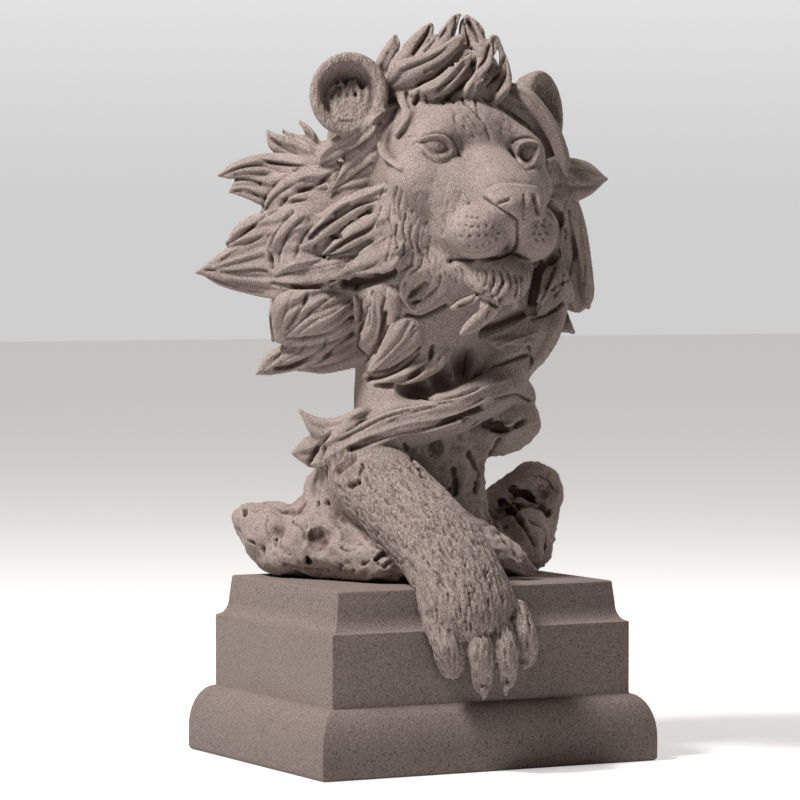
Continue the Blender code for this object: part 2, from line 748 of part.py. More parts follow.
def add_rock(flesh):
    """The weathered rock that the neck and the foreleg grow out of."""
    flesh.mass(-66, 100, -24, (15, 24, 14))
    flesh.mass(-78, 107, -26, (7, 12, 6))
    flesh.mass(-56, 90, -18, (17, 28, 11))
    flesh.mass(-40, 98, -14, (24, 36, 22))
    flesh.mass(-34, 118, -12, (18, 26, 18))
    flesh.mass(-26, 90, 8, (20, 24, 14))
    flesh.mass(-15, 87, 24, (15, 16, 10))
    flesh.mass(2, 96, -18, (30, 34, 22))
    flesh.limb([at(6, -8, 150), at(10, -10, 128), at(10, -14, 108), at(6, -18, 96)], (19, 17, 18, 22))
    flesh.mass(32, 146, -10, (18, 16, 11))
    flesh.limb([at(24, -10, 154), at(40, -12, 161), at(46, -12, 161)], (8, 7, 5.5))
    flesh.limb([at(30, -8, 146), at(44, -10, 150), at(49, -10, 149)], (7, 6, 4.5))
    flesh.mass(34, 92, -30, (25, 28, 14))
    flesh.mass(46, 101, -30, (12, 20, 12))
    flesh.limb([at(28, -30, 106), at(40, -36, 114), at(52, -38, 123), at(58, -38, 122)], (7, 7, 6, 5))
    flesh.limb([at(61, -38, 118), at(56, -36, 106), at(54, -34, 92)], (4.5, 6, 6))
    flesh.limb([at(16, 10, 110), at(34, 14, 95), at(50, 12, 84)], (5, 5.5, 4))


# Hollows worn into the rock: across, up, half width and depth in millimetres
PITS = (
    (-46, 97, 6.5, 3.0), (-50, 87, 2.2, 2.0), (-17, 90, 3.2, 2.0), (7, 138, 4.5, 5.0),
    (0, 129, 2.5, 2.5), (1, 126, 2.0, 2.5), (14, 119, 2.2, 2.0), (38, 103, 2.0, 2.0), (36, 146, 3.5, 3.0),
    (26, 149, 3.5, 3.0), (46, 117, 6.5, 5.5), (40, 113, 5.0, 5.0), (54, 119, 4.0, 3.5), (-28, 99, 9.0, 2.0),
)


def weather_rock(clay):
    """Pits and an uneven, weathered face on the rock."""
    for across, up, width, depth in PITS:
        clay.stroke(clay.on_drawing([(across, up)]), width, -depth, power=1.2)
    clay.done()


def drawn_leaf(root, tip, width, bow=0.0):
    """The two edges of a leaf of hair from its middle line and its width."""
    root, tip = np.array(root, float), np.array(tip, float)
    along = tip - root
    aside = np.array((-along[1], along[0])) / np.hypot(*along)
    stations = ((0.0, 0.36), (0.35, 0.5), (0.7, 0.34), (1.0, 0.02))
    edges = []
    for sign in (1, -1):
        off = [sign * width * w + bow * 4 * t * (1 - t) for t, w in stations]
        edges.append([root + along * t + aside * far for (t, w), far in zip(stations, off)])
    return edges


# Rows of the hair behind: how high, how wide either way, how many locks, how long and how broad
BACK_ROWS = (
    (196, -32, 30, 4, 30, 17),
    (218, -46, 44, 5, 38, 21),
    (244, -48, 50, 5, 40, 22),
    (270, -40, 46, 5, 38, 20),
    (292, -22, 34, 4, 34, 17),
    (312, -8, 22, 3, 30, 14),
)


def add_back_locks(hair):
    """Plainer locks down the back, falling away from the parting to both sides."""
    for row, (up, left, right, count, length, width) in enumerate(BACK_ROWS):
        for k in range(count):
            share = k / (count - 1)
            across = left + (right - left) * share
            lean = (share - 0.5) * 1.3 + (0.08 if (k + row) % 2 else -0.08)
            fall = length * (1.0 if (k + row) % 2 else 0.86)
            tip = (across + fall * math.sin(lean), up - fall * math.cos(lean))
            upper, lower = drawn_leaf((across, up), tip, width, 2.5 if k % 2 else -2.5)
            hair.leaf(upper, lower, 2.0)


def merge_lion(grain):
    """Everything of the cast figure as one skin of an even grain."""
    flesh = Flesh(0.0022)
    add_head(flesh)
    add_body(flesh)
    add_rock(flesh)
    add_foreleg(flesh)
    add_eyes(flesh)
    clay = Clay(flesh.grown(grain))
    model_face(clay)
    weather_rock(clay)
    under_hair = clay.surface
    hollow_throat(clay)
    shapes = Heap()
    shapes.add(clay.spots, [list(p.vertices) for p in clay.mesh.polygons])
    add_ears(shapes)
    add_toes(shapes)
    hair = Hair(shapes, under_hair)
    far_hair = Hair(shapes, under_hair, nearest=0.0)
    for here, locks, lift in (
        (hair, LEFT_LOCKS, 0.5),
        (hair, LEFT_INNER_LOCKS, 2.5),
        (hair, CHEEK_LOCKS, 3.0),
        (hair, JAW_LOCKS, 1.5),
        (hair, CHIN_TUFTS, 0.0),
        (hair, FORELOCK, 2.0),
        (far_hair, RIGHT_LOCKS, 1.0),
        (far_hair, CURTAIN, -2.0),
        (far_hair, CURTAIN_FOLDS, 1.5),
        (hair, BROW_LOCKS, 2.5),
        (hair, SWIRL_LOCKS, 1.5),
    ):
        for upper, lower, *more in locks:
            here.leaf(upper, lower, lift + sum(more), hold=locks is CHIN_TUFTS)
    upper, lower, depths = EAR_LOCK
    hair.leaf(upper, lower, over=depths, plump=0.55)
    add_back_locks(Hair(shapes, under_hair, behind=True))
    return one_skin("lion", shapes, grain)


# Lines cut into the face and the hair: points across and up, half width, and height in millimetres
CUT_LINES = (
    (((28, 251), (31.3, 248.3), (35.7, 245.3), (39.5, 243.1), (42.5, 240.9), (43.6, 240)), 2.2, -2.4),
    (((51.1, 247.6), (53, 245.7), (53.7, 244)), 2.4, -2.6),
    (((29, 252.8), (31.3, 256.2), (34.3, 257.5), (39.5, 258.1), (44.7, 257.6), (52.2, 256.6)), 2.0, -0.9),
    (((43.6, 240), (43.8, 234.9), (43, 229.6), (41, 226.3)), 2.0, -2.2),
    (((41, 226.3), (36.5, 224.4), (29.8, 222.9), (22.3, 222.5), (16.3, 222.9), (13.1, 222.5)), 2.1, -2.4),
    (((41, 226.3), (44.7, 224.4), (49.2, 222.1), (52.2, 221.2)), 2.0, -2.2),
    (((14.4, 277.5), (15.5, 275.3), (16.7, 272.7), (17.6, 269.7)), 1.9, -1.8),
    (((40.1, 272.3), (41.7, 270), (43.2, 267.8), (45.1, 264.8)), 1.9, -1.7),
    (((33.1, 217.7), (34, 211.5), (32, 205.7)), 1.8, -1.5),
    (((39.5, 217.7), (41, 212.4), (38.7, 207.2), (35.7, 204.2)), 1.8, -1.5),
    (((-17.2, 284.3), (-21.7, 277.1), (-30.7, 271.1), (-38.8, 267.2), (-46, 264.5)), 2.0, -1.9),
    (((-37.9, 263.6), (-46.9, 256), (-57.7, 252.4), (-64, 246.1), (-68.4, 243.4)), 2.0, -1.8),
    (((-57.7, 244.3), (-64, 238), (-67.5, 229.9), (-66.6, 219.2)), 2.2, -2.0),
    (((-18.1, 246.1), (-22.6, 237.1), (-30.7, 232.6), (-37.9, 228.1), (-43.3, 224.1)), 2.0, -1.8),
    (((-12.8, 217.4), (-21.7, 213.8), (-30.7, 212), (-39.7, 211.5)), 2.8, -2.7),
    (((-39.7, 211.5), (-50.5, 210.6), (-61.3, 211.1), (-66.6, 212)), 2.2, -2.0),
    (((-14.6, 192.2), (-18.1, 185.9), (-22.6, 180.5), (-24.4, 177.8)), 2.1, -2.0),
    (((53.7, 220.5), (50.7, 210.8), (48.5, 201.8), (39.5, 195.8), (28.3, 190.6)), 3.6, -4.5),
    (((11.8, 295.3), (18.5, 301.3), (22.6, 306.6), (23.8, 311.8)), 2.4, -3.0),
)
# The openings between the lids, as seen on the drawing: the near eye and the far eye
NEAR_LIDS = (
    (-1.7, 275.4), (2.1, 276.9), (7.3, 277.7), (11.4, 276.4), (13.4, 273.0),
    (13.4, 271.4), (11.8, 269.9), (7.3, 269.3), (3.6, 271.2), (1.2, 273.9),
)
FAR_LIDS = (
    (43.6, 270.0), (45.1, 273.6), (48.5, 274.9), (52.2, 273.8),
    (52.4, 270.8), (50.3, 266.3), (47.7, 265.0), (45.1, 267.1),
)
# Each eye: its opening, the middle of its iris on the drawing and the iris's radius
EYES = ((-1, NEAR_LIDS, (9.2, 273.6), 3.0), (1, FAR_LIDS, (47.9, 270.2), 2.9))


def within(places, outline):
    """How far inside a closed outline each place of the drawing is; below zero is outside."""
    near = np.full(len(places), 1e9)
    crossings = np.zeros(len(places), dtype=int)
    for a, b in zip(outline, outline[1:]):
        run = b - a
        t = np.clip((places - a) @ run / max(run @ run, 1e-12), 0, 1)
        near = np.minimum(near, np.linalg.norm(places - a - t[:, None] * run, axis=1))
        spans = (a[1] > places[:, 1]) != (b[1] > places[:, 1])
        where = a[0] + (places[:, 1] - a[1]) / (run[1] if abs(run[1]) > 1e-12 else 1e-12) * run[0]
        crossings += spans & (places[:, 0] < where)
    return np.where(crossings % 2 == 1, near, -near)


def open_eyes(clay):
    """Cuts the openings between the lids down to the eyeballs, with a rim and an iris."""
    for hand, lids, middle, iris in EYES:
        eye = np.array(face(EYE[0] * hand, EYE[1], EYE[2]))
        away = clay.spots - eye
        toward = away @ np.array(TOWARD)
        near = np.flatnonzero((np.linalg.norm(away, axis=1) < 0.016) & (toward > 0.001))
        spots = clay.spots[near]
        shrink = 1 - spots @ np.array(TOWARD) / MM / DRAWING_DISTANCE
        across = DRAWING_SHIFT + (spots @ np.array(ACROSS) / MM - DRAWING_SHIFT) / shrink
        up = DRAWING_HEIGHT + (spots[:, 2] / MM - DRAWING_HEIGHT) / shrink
        place = np.stack((across, up), axis=1)
        inside = within(place, even_path([*lids, lids[0]], 60))
        out = spots - eye
        far = np.linalg.norm(out, axis=1)
        open_share = np.clip(inside / 0.9 + 0.6, 0, 1)[:, None]
        rim = np.exp(-((inside + 1.0) / 0.9) ** 2)[:, None] * 0.0009
        ring = np.linalg.norm(place - np.array(middle), axis=1)
        mark = 0.4 + 0.8 * np.exp(-((ring / (0.5 * iris)) ** 2))
        ball = eye + out / far[:, None] * ((EYE_RADIUS - mark[:, None]) * MM)
        clay.spots[near] = spots * (1 - open_share) + ball * open_share + clay.normals[near] * rim
    clay.done()


def mend_pinches(work):
    """Opens the spots where the skin only just meets itself and closes each side for itself."""
    for _ in range(6):
        pinched = [v for v in work.verts if not v.is_manifold]
        if not pinched:
            break
        bmesh.ops.delete(work, geom=pinched, context="VERTS")
        bmesh.ops.holes_fill(work, edges=[e for e in work.edges if e.is_boundary], sides=0)
        bmesh.ops.triangulate(work, faces=work.faces[:])


def keep_largest(mesh):
    """Drops crumbs and closed bubbles, and leaves the one big body."""
    work = bmesh.new()
    work.from_mesh(mesh)
    mend_pinches(work)
    left = set(work.verts)
    bodies = []
    while left:
        body, edge = set(), [left.pop()]
        while edge:
            vert = edge.pop()
            body.add(vert)
            for e in vert.link_edges:
                other = e.other_vert(vert)
                if other in left:
                    left.discard(other)
                    edge.append(other)
        bodies.append(body)
    bodies.sort(key=len)
    crumbs = [v for body in bodies[:-1] for v in body]
    bmesh.ops.delete(work, geom=crumbs, context="VERTS")
    bmesh.ops.triangulate(work, faces=work.faces[:])
    bmesh.ops.recalc_face_normals(work, faces=work.faces[:])
    work.to_mesh(mesh)
    work.free()


def make_lion():
    """The cast figure: one skin, thinned where it is calm, and cut clear of the plinth under it."""
    lion = merge_lion(GRAIN)
    even = lion.modifiers.new("even", "SMOOTH")
    even.factor = 0.4
    even.iterations = 1
    clay = Clay(evaluated(lion))
    open_eyes(clay)
    clay.draw(CUT_LINES)
    clay.done()
    mesh = clay.mesh
    mesh.name = "lion"
    lion = bpy.data.objects.new("lion", mesh)
    bpy.context.scene.collection.objects.link(lion)
    calm = lion.vertex_groups.new(name="calm")
    off = np.linalg.norm(read_spots(mesh) - np.array(face(0, 4, -24)), axis=1) / MM
    for near, far, share in ((0, 30, 0.25), (30, 38, 0.5), (38, 46, 0.75), (46, 999, 1.0)):
        calm.add(np.flatnonzero((off >= near) & (off < far)).tolist(), share, "REPLACE")
    thin = lion.modifiers.new("thin", "DECIMATE")
    thin.ratio = LION_TRIANGLES / (2 * len(mesh.polygons))
    thin.vertex_group = "calm"
    thin.vertex_group_factor = FACE_CARE
    cutter = plinth_block("seat", SEAT_GAP)
    seat = lion.modifiers.new("seat", "BOOLEAN")
    seat.operation = "DIFFERENCE"
    seat.solver = "EXACT"
    seat.use_self = True
    seat.object = cutter
    mesh = evaluated(lion)
    bpy.data.objects.remove(cutter)
    keep_largest(mesh)
    mesh.name = "lion"
    lion = bpy.data.objects.new("lion", mesh)
    bpy.context.scene.collection.objects.link(lion)
    return lion


# The plinth


def plinth_profile(spare=0.0):
    """Points of the plinth's moulding: how far out from the die's face, and how high."""
    points = [(BASE_OVERHANG - BASE_ROUND, 0.0), (BASE_OVERHANG - 0.0004, BASE_ROUND)]
    points.append((BASE_OVERHANG, BASE_LIP * 0.5))
    lip = BASE_LIP * 0.8
    for k in range(0, 9):
        t = math.pi / 2 * k / 9
        points.append((BASE_OVERHANG * math.cos(t), lip + (DIE_FOOT - lip) * math.sin(t)))
    points.append((0.0, DIE_FOOT))
    points.append((0.0, DIE_HEAD))
    for k in range(1, 6):
        t = math.pi / 2 * k / 5
        points.append((-CAP_SETBACK * 0.82 * math.sin(t), DIE_HEAD + CAP_COVE * (1 - math.cos(t))))
    points.append((-CAP_SETBACK, PLINTH_HEIGHT + spare - EDGE_SOFTENING))
    points.append((-CAP_SETBACK - EDGE_SOFTENING, PLINTH_HEIGHT + spare))
    return points


def plinth_block(name, spare=0.0):
    """The moulded block, each moulding mitred round its corners; spare is added all round."""
    shapes = Heap()
    corners = ((-1, -1), (1, -1), (1, 1), (-1, 1))
    shapes.skin_rings(
        [
            [(x * (DIE_WIDTH / 2 + out + spare), y * (DIE_DEPTH / 2 + out + spare), up) for x, y in corners]
            for out, up in plinth_profile(spare)
        ]
    )
    obj = bpy.data.objects.new(name, shapes.mesh(name))
    bpy.context.scene.collection.objects.link(obj)
    return obj


def make_plinth():
    """The plinth with its upright corners taken off a little."""
    obj = plinth_block("plinth")
    soften = obj.modifiers.new("worn corners", "BEVEL")
    soften.width = CORNER_SOFTENING
    soften.segments = 2
    soften.limit_method = "ANGLE"
    soften.angle_limit = math.radians(60)
    return obj


def finish(obj, colour, name, roughness):
    """Shades a piece smooth except across its hard edges, and gives it its own material."""
    for polygon in obj.data.polygons:
        polygon.use_smooth = True
    material = bpy.data.materials.new(name)
    material.use_nodes = True
    shader = material.node_tree.nodes["Principled BSDF"]
    shader.inputs["Base Color"].default_value = colour
    shader.inputs["Roughness"].default_value = roughness
    obj.data.materials.clear()
    obj.data.materials.append(material)


def main():
    """Clears the scene and makes both pieces."""
    for obj in list(bpy.data.objects):
        bpy.data.objects.remove(obj)
    plinth = make_plinth()
    finish(plinth, SANDSTONE, "plinth sandstone", 0.75)
    finish(make_lion(), CARVED_SANDSTONE, "carved sandstone", 0.85)
    for polygon in plinth.data.polygons:
        polygon.use_smooth = False


main()
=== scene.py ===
"""The dressed model of a cast sandstone ornament: a lion's head rising from rock on a moulded plinth.

The free form is set out as a carver would, on one drawing seen from the front quarter, in
millimetres across the drawing, up it, and towards the viewer. All made meshes are in metres,
+Z up, with the origin in the middle of the plinth's underside.
"""

import logging
import math
from dataclasses import dataclass, field
from enum import Enum

import bmesh
import bpy
import numpy as np
from mathutils import Matrix, Vector
from mathutils.bvhtree import BVHTree


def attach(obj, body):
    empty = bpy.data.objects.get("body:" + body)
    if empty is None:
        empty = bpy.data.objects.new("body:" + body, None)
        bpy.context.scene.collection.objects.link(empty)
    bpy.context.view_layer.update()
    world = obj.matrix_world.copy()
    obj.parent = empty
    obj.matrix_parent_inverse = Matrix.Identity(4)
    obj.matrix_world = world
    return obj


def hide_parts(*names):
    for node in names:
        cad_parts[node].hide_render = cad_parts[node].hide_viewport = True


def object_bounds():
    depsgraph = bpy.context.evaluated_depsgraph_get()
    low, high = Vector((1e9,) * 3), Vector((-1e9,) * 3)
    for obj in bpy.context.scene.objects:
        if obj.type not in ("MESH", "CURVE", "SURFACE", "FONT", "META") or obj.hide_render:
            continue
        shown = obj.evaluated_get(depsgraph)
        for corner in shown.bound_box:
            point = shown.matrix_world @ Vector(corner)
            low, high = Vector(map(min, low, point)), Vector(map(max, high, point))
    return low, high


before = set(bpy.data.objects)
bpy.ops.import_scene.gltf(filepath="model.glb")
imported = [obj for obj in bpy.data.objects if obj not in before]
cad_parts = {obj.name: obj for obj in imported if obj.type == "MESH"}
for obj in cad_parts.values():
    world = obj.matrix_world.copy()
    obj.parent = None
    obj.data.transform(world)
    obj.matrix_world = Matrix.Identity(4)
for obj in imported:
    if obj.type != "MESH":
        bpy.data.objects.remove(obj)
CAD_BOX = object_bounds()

LOG = logging.getLogger("ornament")
MM = 0.001

Line = list[tuple[float, float]]
Spots = np.ndarray

# The drawing's viewpoint: its turn from straight ahead, its distance, height and sideways shift
DRAWING_TURN = math.radians(-27.66)
DRAWING_DISTANCE = 1852.0
DRAWING_HEIGHT = 226.5
DRAWING_SHIFT = -9.15
ACROSS = Vector((math.cos(DRAWING_TURN), math.sin(DRAWING_TURN), 0.0))
TOWARD = Vector((math.sin(DRAWING_TURN), -math.cos(DRAWING_TURN), 0.0))
UP = Vector((0.0, 0.0, 1.0))

# The head: the bridge of the nose between the eyes (across, towards, up), and how the head is turned
BRIDGE = (32.3, 32.0, 271.2)
HEAD_TURN = math.radians(29.7)
HEAD_ROLL = math.radians(-3.5)


class From(Enum):
    """The side of the lion that a lock of hair is drawn from."""

    FRONT = 1
    BEHIND = -1


# Places on the drawing and on the head


def at(across: float, toward: float, up: float) -> Vector:
    """A point of the carving, in metres, from millimetres across, towards the viewer and up."""
    return (ACROSS * across + TOWARD * toward + UP * up) * MM


def sighted(across: float, up: float, toward: float) -> Vector:
    """The point at a depth that the drawing shows at a place.

    Args:
        across: Millimetres across the drawing, as read at depth 0.
        up: Millimetres up the drawing, as read at depth 0.
        toward: How far the point stands towards the viewer, in millimetres.

    Returns:
        The point in metres.
    """
    nearer = toward / DRAWING_DISTANCE
    return at(
        DRAWING_SHIFT + (across - DRAWING_SHIFT) * (1 - nearer),
        toward,
        DRAWING_HEIGHT + (up - DRAWING_HEIGHT) * (1 - nearer),
    )


def head_axes() -> tuple[Vector, Vector, Vector]:
    """The head's own directions: to its left, forward out of the face, and up through the crown."""
    forward = ACROSS * math.sin(HEAD_TURN) + TOWARD * math.cos(HEAD_TURN)
    side = ACROSS * math.cos(HEAD_TURN) - TOWARD * math.sin(HEAD_TURN)
    turn = Matrix.Rotation(HEAD_ROLL, 3, forward)
    return turn @ side, turn @ forward, turn @ UP


SIDE, FORWARD, CROWN = head_axes()


def face(side: float, forward: float, up: float) -> Vector:
    """A point of the head, in metres, from millimetres in the head's own directions."""
    return at(*BRIDGE) + (SIDE * side + FORWARD * forward + CROWN * up) * MM


def smooth_path(points: list, steps: int) -> list:
    """Points along a smooth curve through the given ones.

    Args:
        points: Vectors or arrays that the curve passes through.
        steps: How many points each stretch is cut into.

    Returns:
        The points along the curve, both ends among them.
    """
    ends = [points[0] * 2 - points[1], *points, points[-1] * 2 - points[-2]]
    path = []
    for a, b, c, d in zip(ends, ends[1:], ends[2:], ends[3:]):
        for k in range(steps):
            t = k / steps
            bend = (2 * a - 5 * b + 4 * c - d) * t * t + (3 * b - a - 3 * c + d) * t**3
            path.append(0.5 * (2 * b + (c - a) * t + bend))
    return [*path, points[-1]]


def even_path(points: Line, count: int) -> Spots:
    """A smooth curve through drawn points.

    Args:
        points: The points that it passes through.
        count: How many points it is given back as.

    Returns:
        The points, evenly spaced along the curve, one row each.
    """
    path = np.array(smooth_path([np.array(p, float) for p in points], 8))
    run = np.concatenate(([0.0], np.cumsum(np.linalg.norm(np.diff(path, axis=0), axis=1))))
    where = np.linspace(0, run[-1], count)
    return np.stack([np.interp(where, run, path[:, k]) for k in range(path.shape[1])], axis=1)


# Large odd numbers that shuffle a cell's three indices and the seed
SHUFFLE = (73856093, 19349663, 83492791, 26544357)


def rough(spots: Spots, scale: float, seed: int) -> Spots:
    """Smooth random values from -1 to 1 at points.

    Args:
        spots: The points, in metres.
        scale: The distance in metres over which the value changes.
        seed: Which of the patterns to read.

    Returns:
        One value for each point.
    """
    cells = spots / scale
    low = np.floor(cells).astype(np.int64)
    part = cells - low
    part = part * part * (3 - 2 * part)
    total = np.zeros(len(spots))
    for corner in range(8):
        step = np.array((corner & 1, corner >> 1 & 1, corner >> 2 & 1))
        place = low + step
        x, y, z = (place[:, axis] * prime for axis, prime in enumerate(SHUFFLE[:3]))
        mixed = x ^ y ^ z ^ seed * SHUFFLE[3]
        mixed = (mixed ^ (mixed >> 13)) * 1274126177
        value = ((mixed ^ (mixed >> 16)) & 0xFFFF) / 32767.5 - 1
        total += np.prod(np.where(step, part, 1 - part), axis=1) * value
    return total


# Meshes


def read_spots(mesh: bpy.types.Mesh) -> Spots:
    """The mesh's points, one row each."""
    spots = np.empty(len(mesh.vertices) * 3)
    mesh.vertices.foreach_get("co", spots)
    return spots.reshape(-1, 3)


def read_normals(mesh: bpy.types.Mesh) -> Spots:
    """The direction out of the mesh at each of its points."""
    normals = np.empty(len(mesh.vertices) * 3)
    mesh.vertices.foreach_get("normal", normals)
    return normals.reshape(-1, 3)


def write_spots(mesh: bpy.types.Mesh, spots: Spots) -> None:
    """Moves the mesh's points to the given ones."""
    mesh.vertices.foreach_set("co", spots.ravel())
    mesh.update()


def placed(name: str, mesh: bpy.types.Mesh) -> bpy.types.Object:
    """A new object of the mesh, at the origin of the scene."""
    obj = bpy.data.objects.new(name, mesh)
    bpy.context.scene.collection.objects.link(obj)
    return obj


def settled(obj: bpy.types.Object) -> bpy.types.Mesh:
    """The plain mesh that the object's modifiers leave; the object itself goes.

    Args:
        obj: The object, which is used up.

    Returns:
        The mesh.
    """
    graph = bpy.context.evaluated_depsgraph_get()
    made = bpy.data.meshes.new_from_object(obj.evaluated_get(graph), depsgraph=graph)
    old = obj.data
    bpy.data.objects.remove(obj)
    bpy.data.meshes.remove(old)
    return made


def relaxed(mesh: bpy.types.Mesh, factor: float, rounds: int) -> bpy.types.Mesh:
    """The mesh evened out a little.

    Args:
        mesh: The mesh, which is used up.
        factor: How far each point goes towards its neighbours.
        rounds: How many times.

    Returns:
        The evened mesh.
    """
    obj = placed("relaxed", mesh)
    smooth = obj.modifiers.new("even", "SMOOTH")
    smooth.factor = factor
    smooth.iterations = rounds
    return settled(obj)


def unit_ball(divisions: int) -> tuple[Spots, Spots]:
    """The corners and triangles of a ball of radius 1.

    Args:
        divisions: How fine the ball is.

    Returns:
        Its corners and its faces, one row each.
    """
    work = bmesh.new()
    bmesh.ops.create_icosphere(work, subdivisions=divisions, radius=1.0)
    corners = np.array([list(v.co) for v in work.verts])
    faces = np.array([[v.index for v in f.verts] for f in work.faces])
    work.free()
    return corners, faces


class Heap:
    """Closed shapes lying in and through one another, before they become one skin."""

    BALLS = {n: unit_ball(n) for n in (2, 3, 4)}

    def __init__(self) -> None:
        """Starts with nothing."""
        self.corners: list[Spots] = []
        self.faces: list[list[int]] = []
        self.count = 0

    def add(self, corners: Spots, faces: list | Spots) -> None:
        """Adds one closed shape from its corners and its faces.

        Args:
            corners: The corners, in metres.
            faces: The numbers of each face's corners.
        """
        self.corners.append(np.asarray(corners, float))
        if isinstance(faces, np.ndarray):
            self.faces += (faces + self.count).tolist()
        else:
            self.faces += [[c + self.count for c in f] for f in faces]
        self.count += len(corners)

    def ball(self, centre: Vector, radii: list[float], axes: tuple = ((1, 0, 0), (0, 1, 0), (0, 0, 1)),
             divisions: int = 4) -> None:
        """An ellipsoid with a radius, in metres, along each of three axes.

        Args:
            centre: Its middle, in metres.
            radii: Its radius along each axis, in metres.
            axes: Three directions at right angles.
            divisions: How fine it is.
        """
        corners, faces = self.BALLS[divisions]
        turned = (corners * radii) @ np.array([list(a) for a in axes])
        self.add(turned + np.array(centre), faces)

    def string(self, path: list[Vector], sizes: Spots, divisions: int = 3) -> None:
        """A chain of balls along a path that runs together into one limb."""
        for point, size in zip(path, sizes):
            self.ball(point, [size, size, size], divisions=divisions)

    def skin_rings(self, rings: Spots) -> None:
        """Faces between successive rings of points, closed at both ends.

        Args:
            rings: The rings, each of as many points, in metres.
        """
        rings = np.asarray(rings, float)
        rows, count = rings.shape[:2]
        here = np.arange(rows - 1)[:, None] * count + np.arange(count)[None, :]
        after = np.arange(rows - 1)[:, None] * count + (np.arange(count)[None, :] + 1) % count
        quads = np.stack((here, after, after + count, here + count), axis=-1).reshape(-1, 4)
        faces = quads.tolist()
        faces.append(list(range(count))[::-1])
        faces.append([(rows - 1) * count + k for k in range(count)])
        self.add(rings.reshape(-1, 3), faces)

    def mesh(self, name: str) -> bpy.types.Mesh:
        """All the shapes as one mesh whose faces point outwards.

        Args:
            name: The mesh's name.

        Returns:
            The mesh.
        """
        made = bpy.data.meshes.new(name)
        made.from_pydata(np.concatenate(self.corners).tolist(), [], self.faces)
        work = bmesh.new()
        work.from_mesh(made)
        bmesh.ops.recalc_face_normals(work, faces=work.faces[:])
        work.to_mesh(made)
        work.free()
        return made

    def skin(self, name: str, grain: float) -> bpy.types.Mesh:
        """All the shapes as one skin of an even grain, in metres.

        Args:
            name: The mesh's name.
            grain: The size of its faces, in metres.

        Returns:
            The mesh.
        """
        obj = placed(name, self.mesh(name))
        remesh = obj.modifiers.new("one skin", "REMESH")
        remesh.mode = "VOXEL"
        remesh.voxel_size = grain
        return settled(obj)


class Flesh:
    """Rounded masses that grow into each other, as clay would be built up."""

    def __init__(self, blend: float) -> None:
        """Starts with nothing; blend is the softness of the joins, in metres."""
        self.blend = blend
        self.shapes = Heap()
        self.balls: list[tuple] = []
        self.limbs: list[tuple] = []

    def ball(self, centre: Vector, radii: tuple, axes: tuple) -> None:
        """An ellipsoid with its radii, in millimetres, along three axes."""
        self.shapes.ball(centre, [r * MM for r in radii], axes)
        self.balls.append((centre, [r * MM for r in radii], axes))

    def mass(self, across: float, up: float, toward: float, radii: tuple) -> None:
        """An ellipsoid of the drawing: radii across, towards the viewer and up."""
        self.ball(sighted(across, up, toward), radii, (ACROSS, TOWARD, UP))

    def head_mass(self, place: tuple, radii: tuple, both: bool = False) -> None:
        """An ellipsoid of the head, and its twin on the other side if it has one."""
        for hand in (1, -1) if both else (1,):
            self.ball(face(place[0] * hand, *place[1:]), radii, (SIDE, FORWARD, CROWN))

    def limb(self, points: list[Vector], radii: tuple) -> None:
        """A round-ended limb through points, with a radius in millimetres at each.

        Args:
            points: The points of its middle line.
            radii: Its radius at each of them.
        """
        path = smooth_path(points, 4)
        spots = np.linspace(0, len(radii) - 1, len(path))
        sizes = np.interp(spots, np.arange(len(radii)), radii) * MM
        self.limbs += list(zip(path, path[1:], sizes, sizes[1:]))
        self.shapes.string(path, sizes)

    def reach(self, spots: Spots) -> Spots:
        """How far each spot is outside the blended masses (inside is negative).

        Args:
            spots: The points, in metres.

        Returns:
            One distance in metres for each point.
        """
        total = np.zeros(len(spots))
        for centre, radii, axes in self.balls:
            local = (spots - np.array(centre)) @ np.array([list(a) for a in axes]).T / radii
            far = np.linalg.norm(local, axis=1)
            steep = np.linalg.norm(local / radii, axis=1)
            off = np.clip(far * (far - 1) / np.maximum(steep, 1e-9), -0.03, 0.03)
            total += np.exp(-off / self.blend)
        for a, b, start, end in self.limbs:
            run = np.array(b - a)
            from_a = spots - np.array(a)
            t = np.clip(from_a @ run / max(run @ run, 1e-12), 0, 1)
            off = np.linalg.norm(from_a - t[:, None] * run, axis=1) - (start + (end - start) * t)
            total += 0.5 * np.exp(-np.clip(off, -0.03, 0.03) / self.blend)
        return -self.blend * np.log(total + 1e-30)

    def grown(self, grain: float) -> bpy.types.Mesh:
        """The masses as one mesh with soft joins.

        Args:
            grain: The size of its faces, in metres.

        Returns:
            The mesh.
        """
        mesh = self.shapes.skin("flesh", grain)
        for _ in range(4):
            spots, normals = read_spots(mesh), read_normals(mesh)
            off = np.clip(self.reach(spots), -0.004, 0.004)
            write_spots(mesh, spots - normals * off[:, None] * 0.8)
            mesh = relaxed(mesh, 0.5, 2)
        return mesh


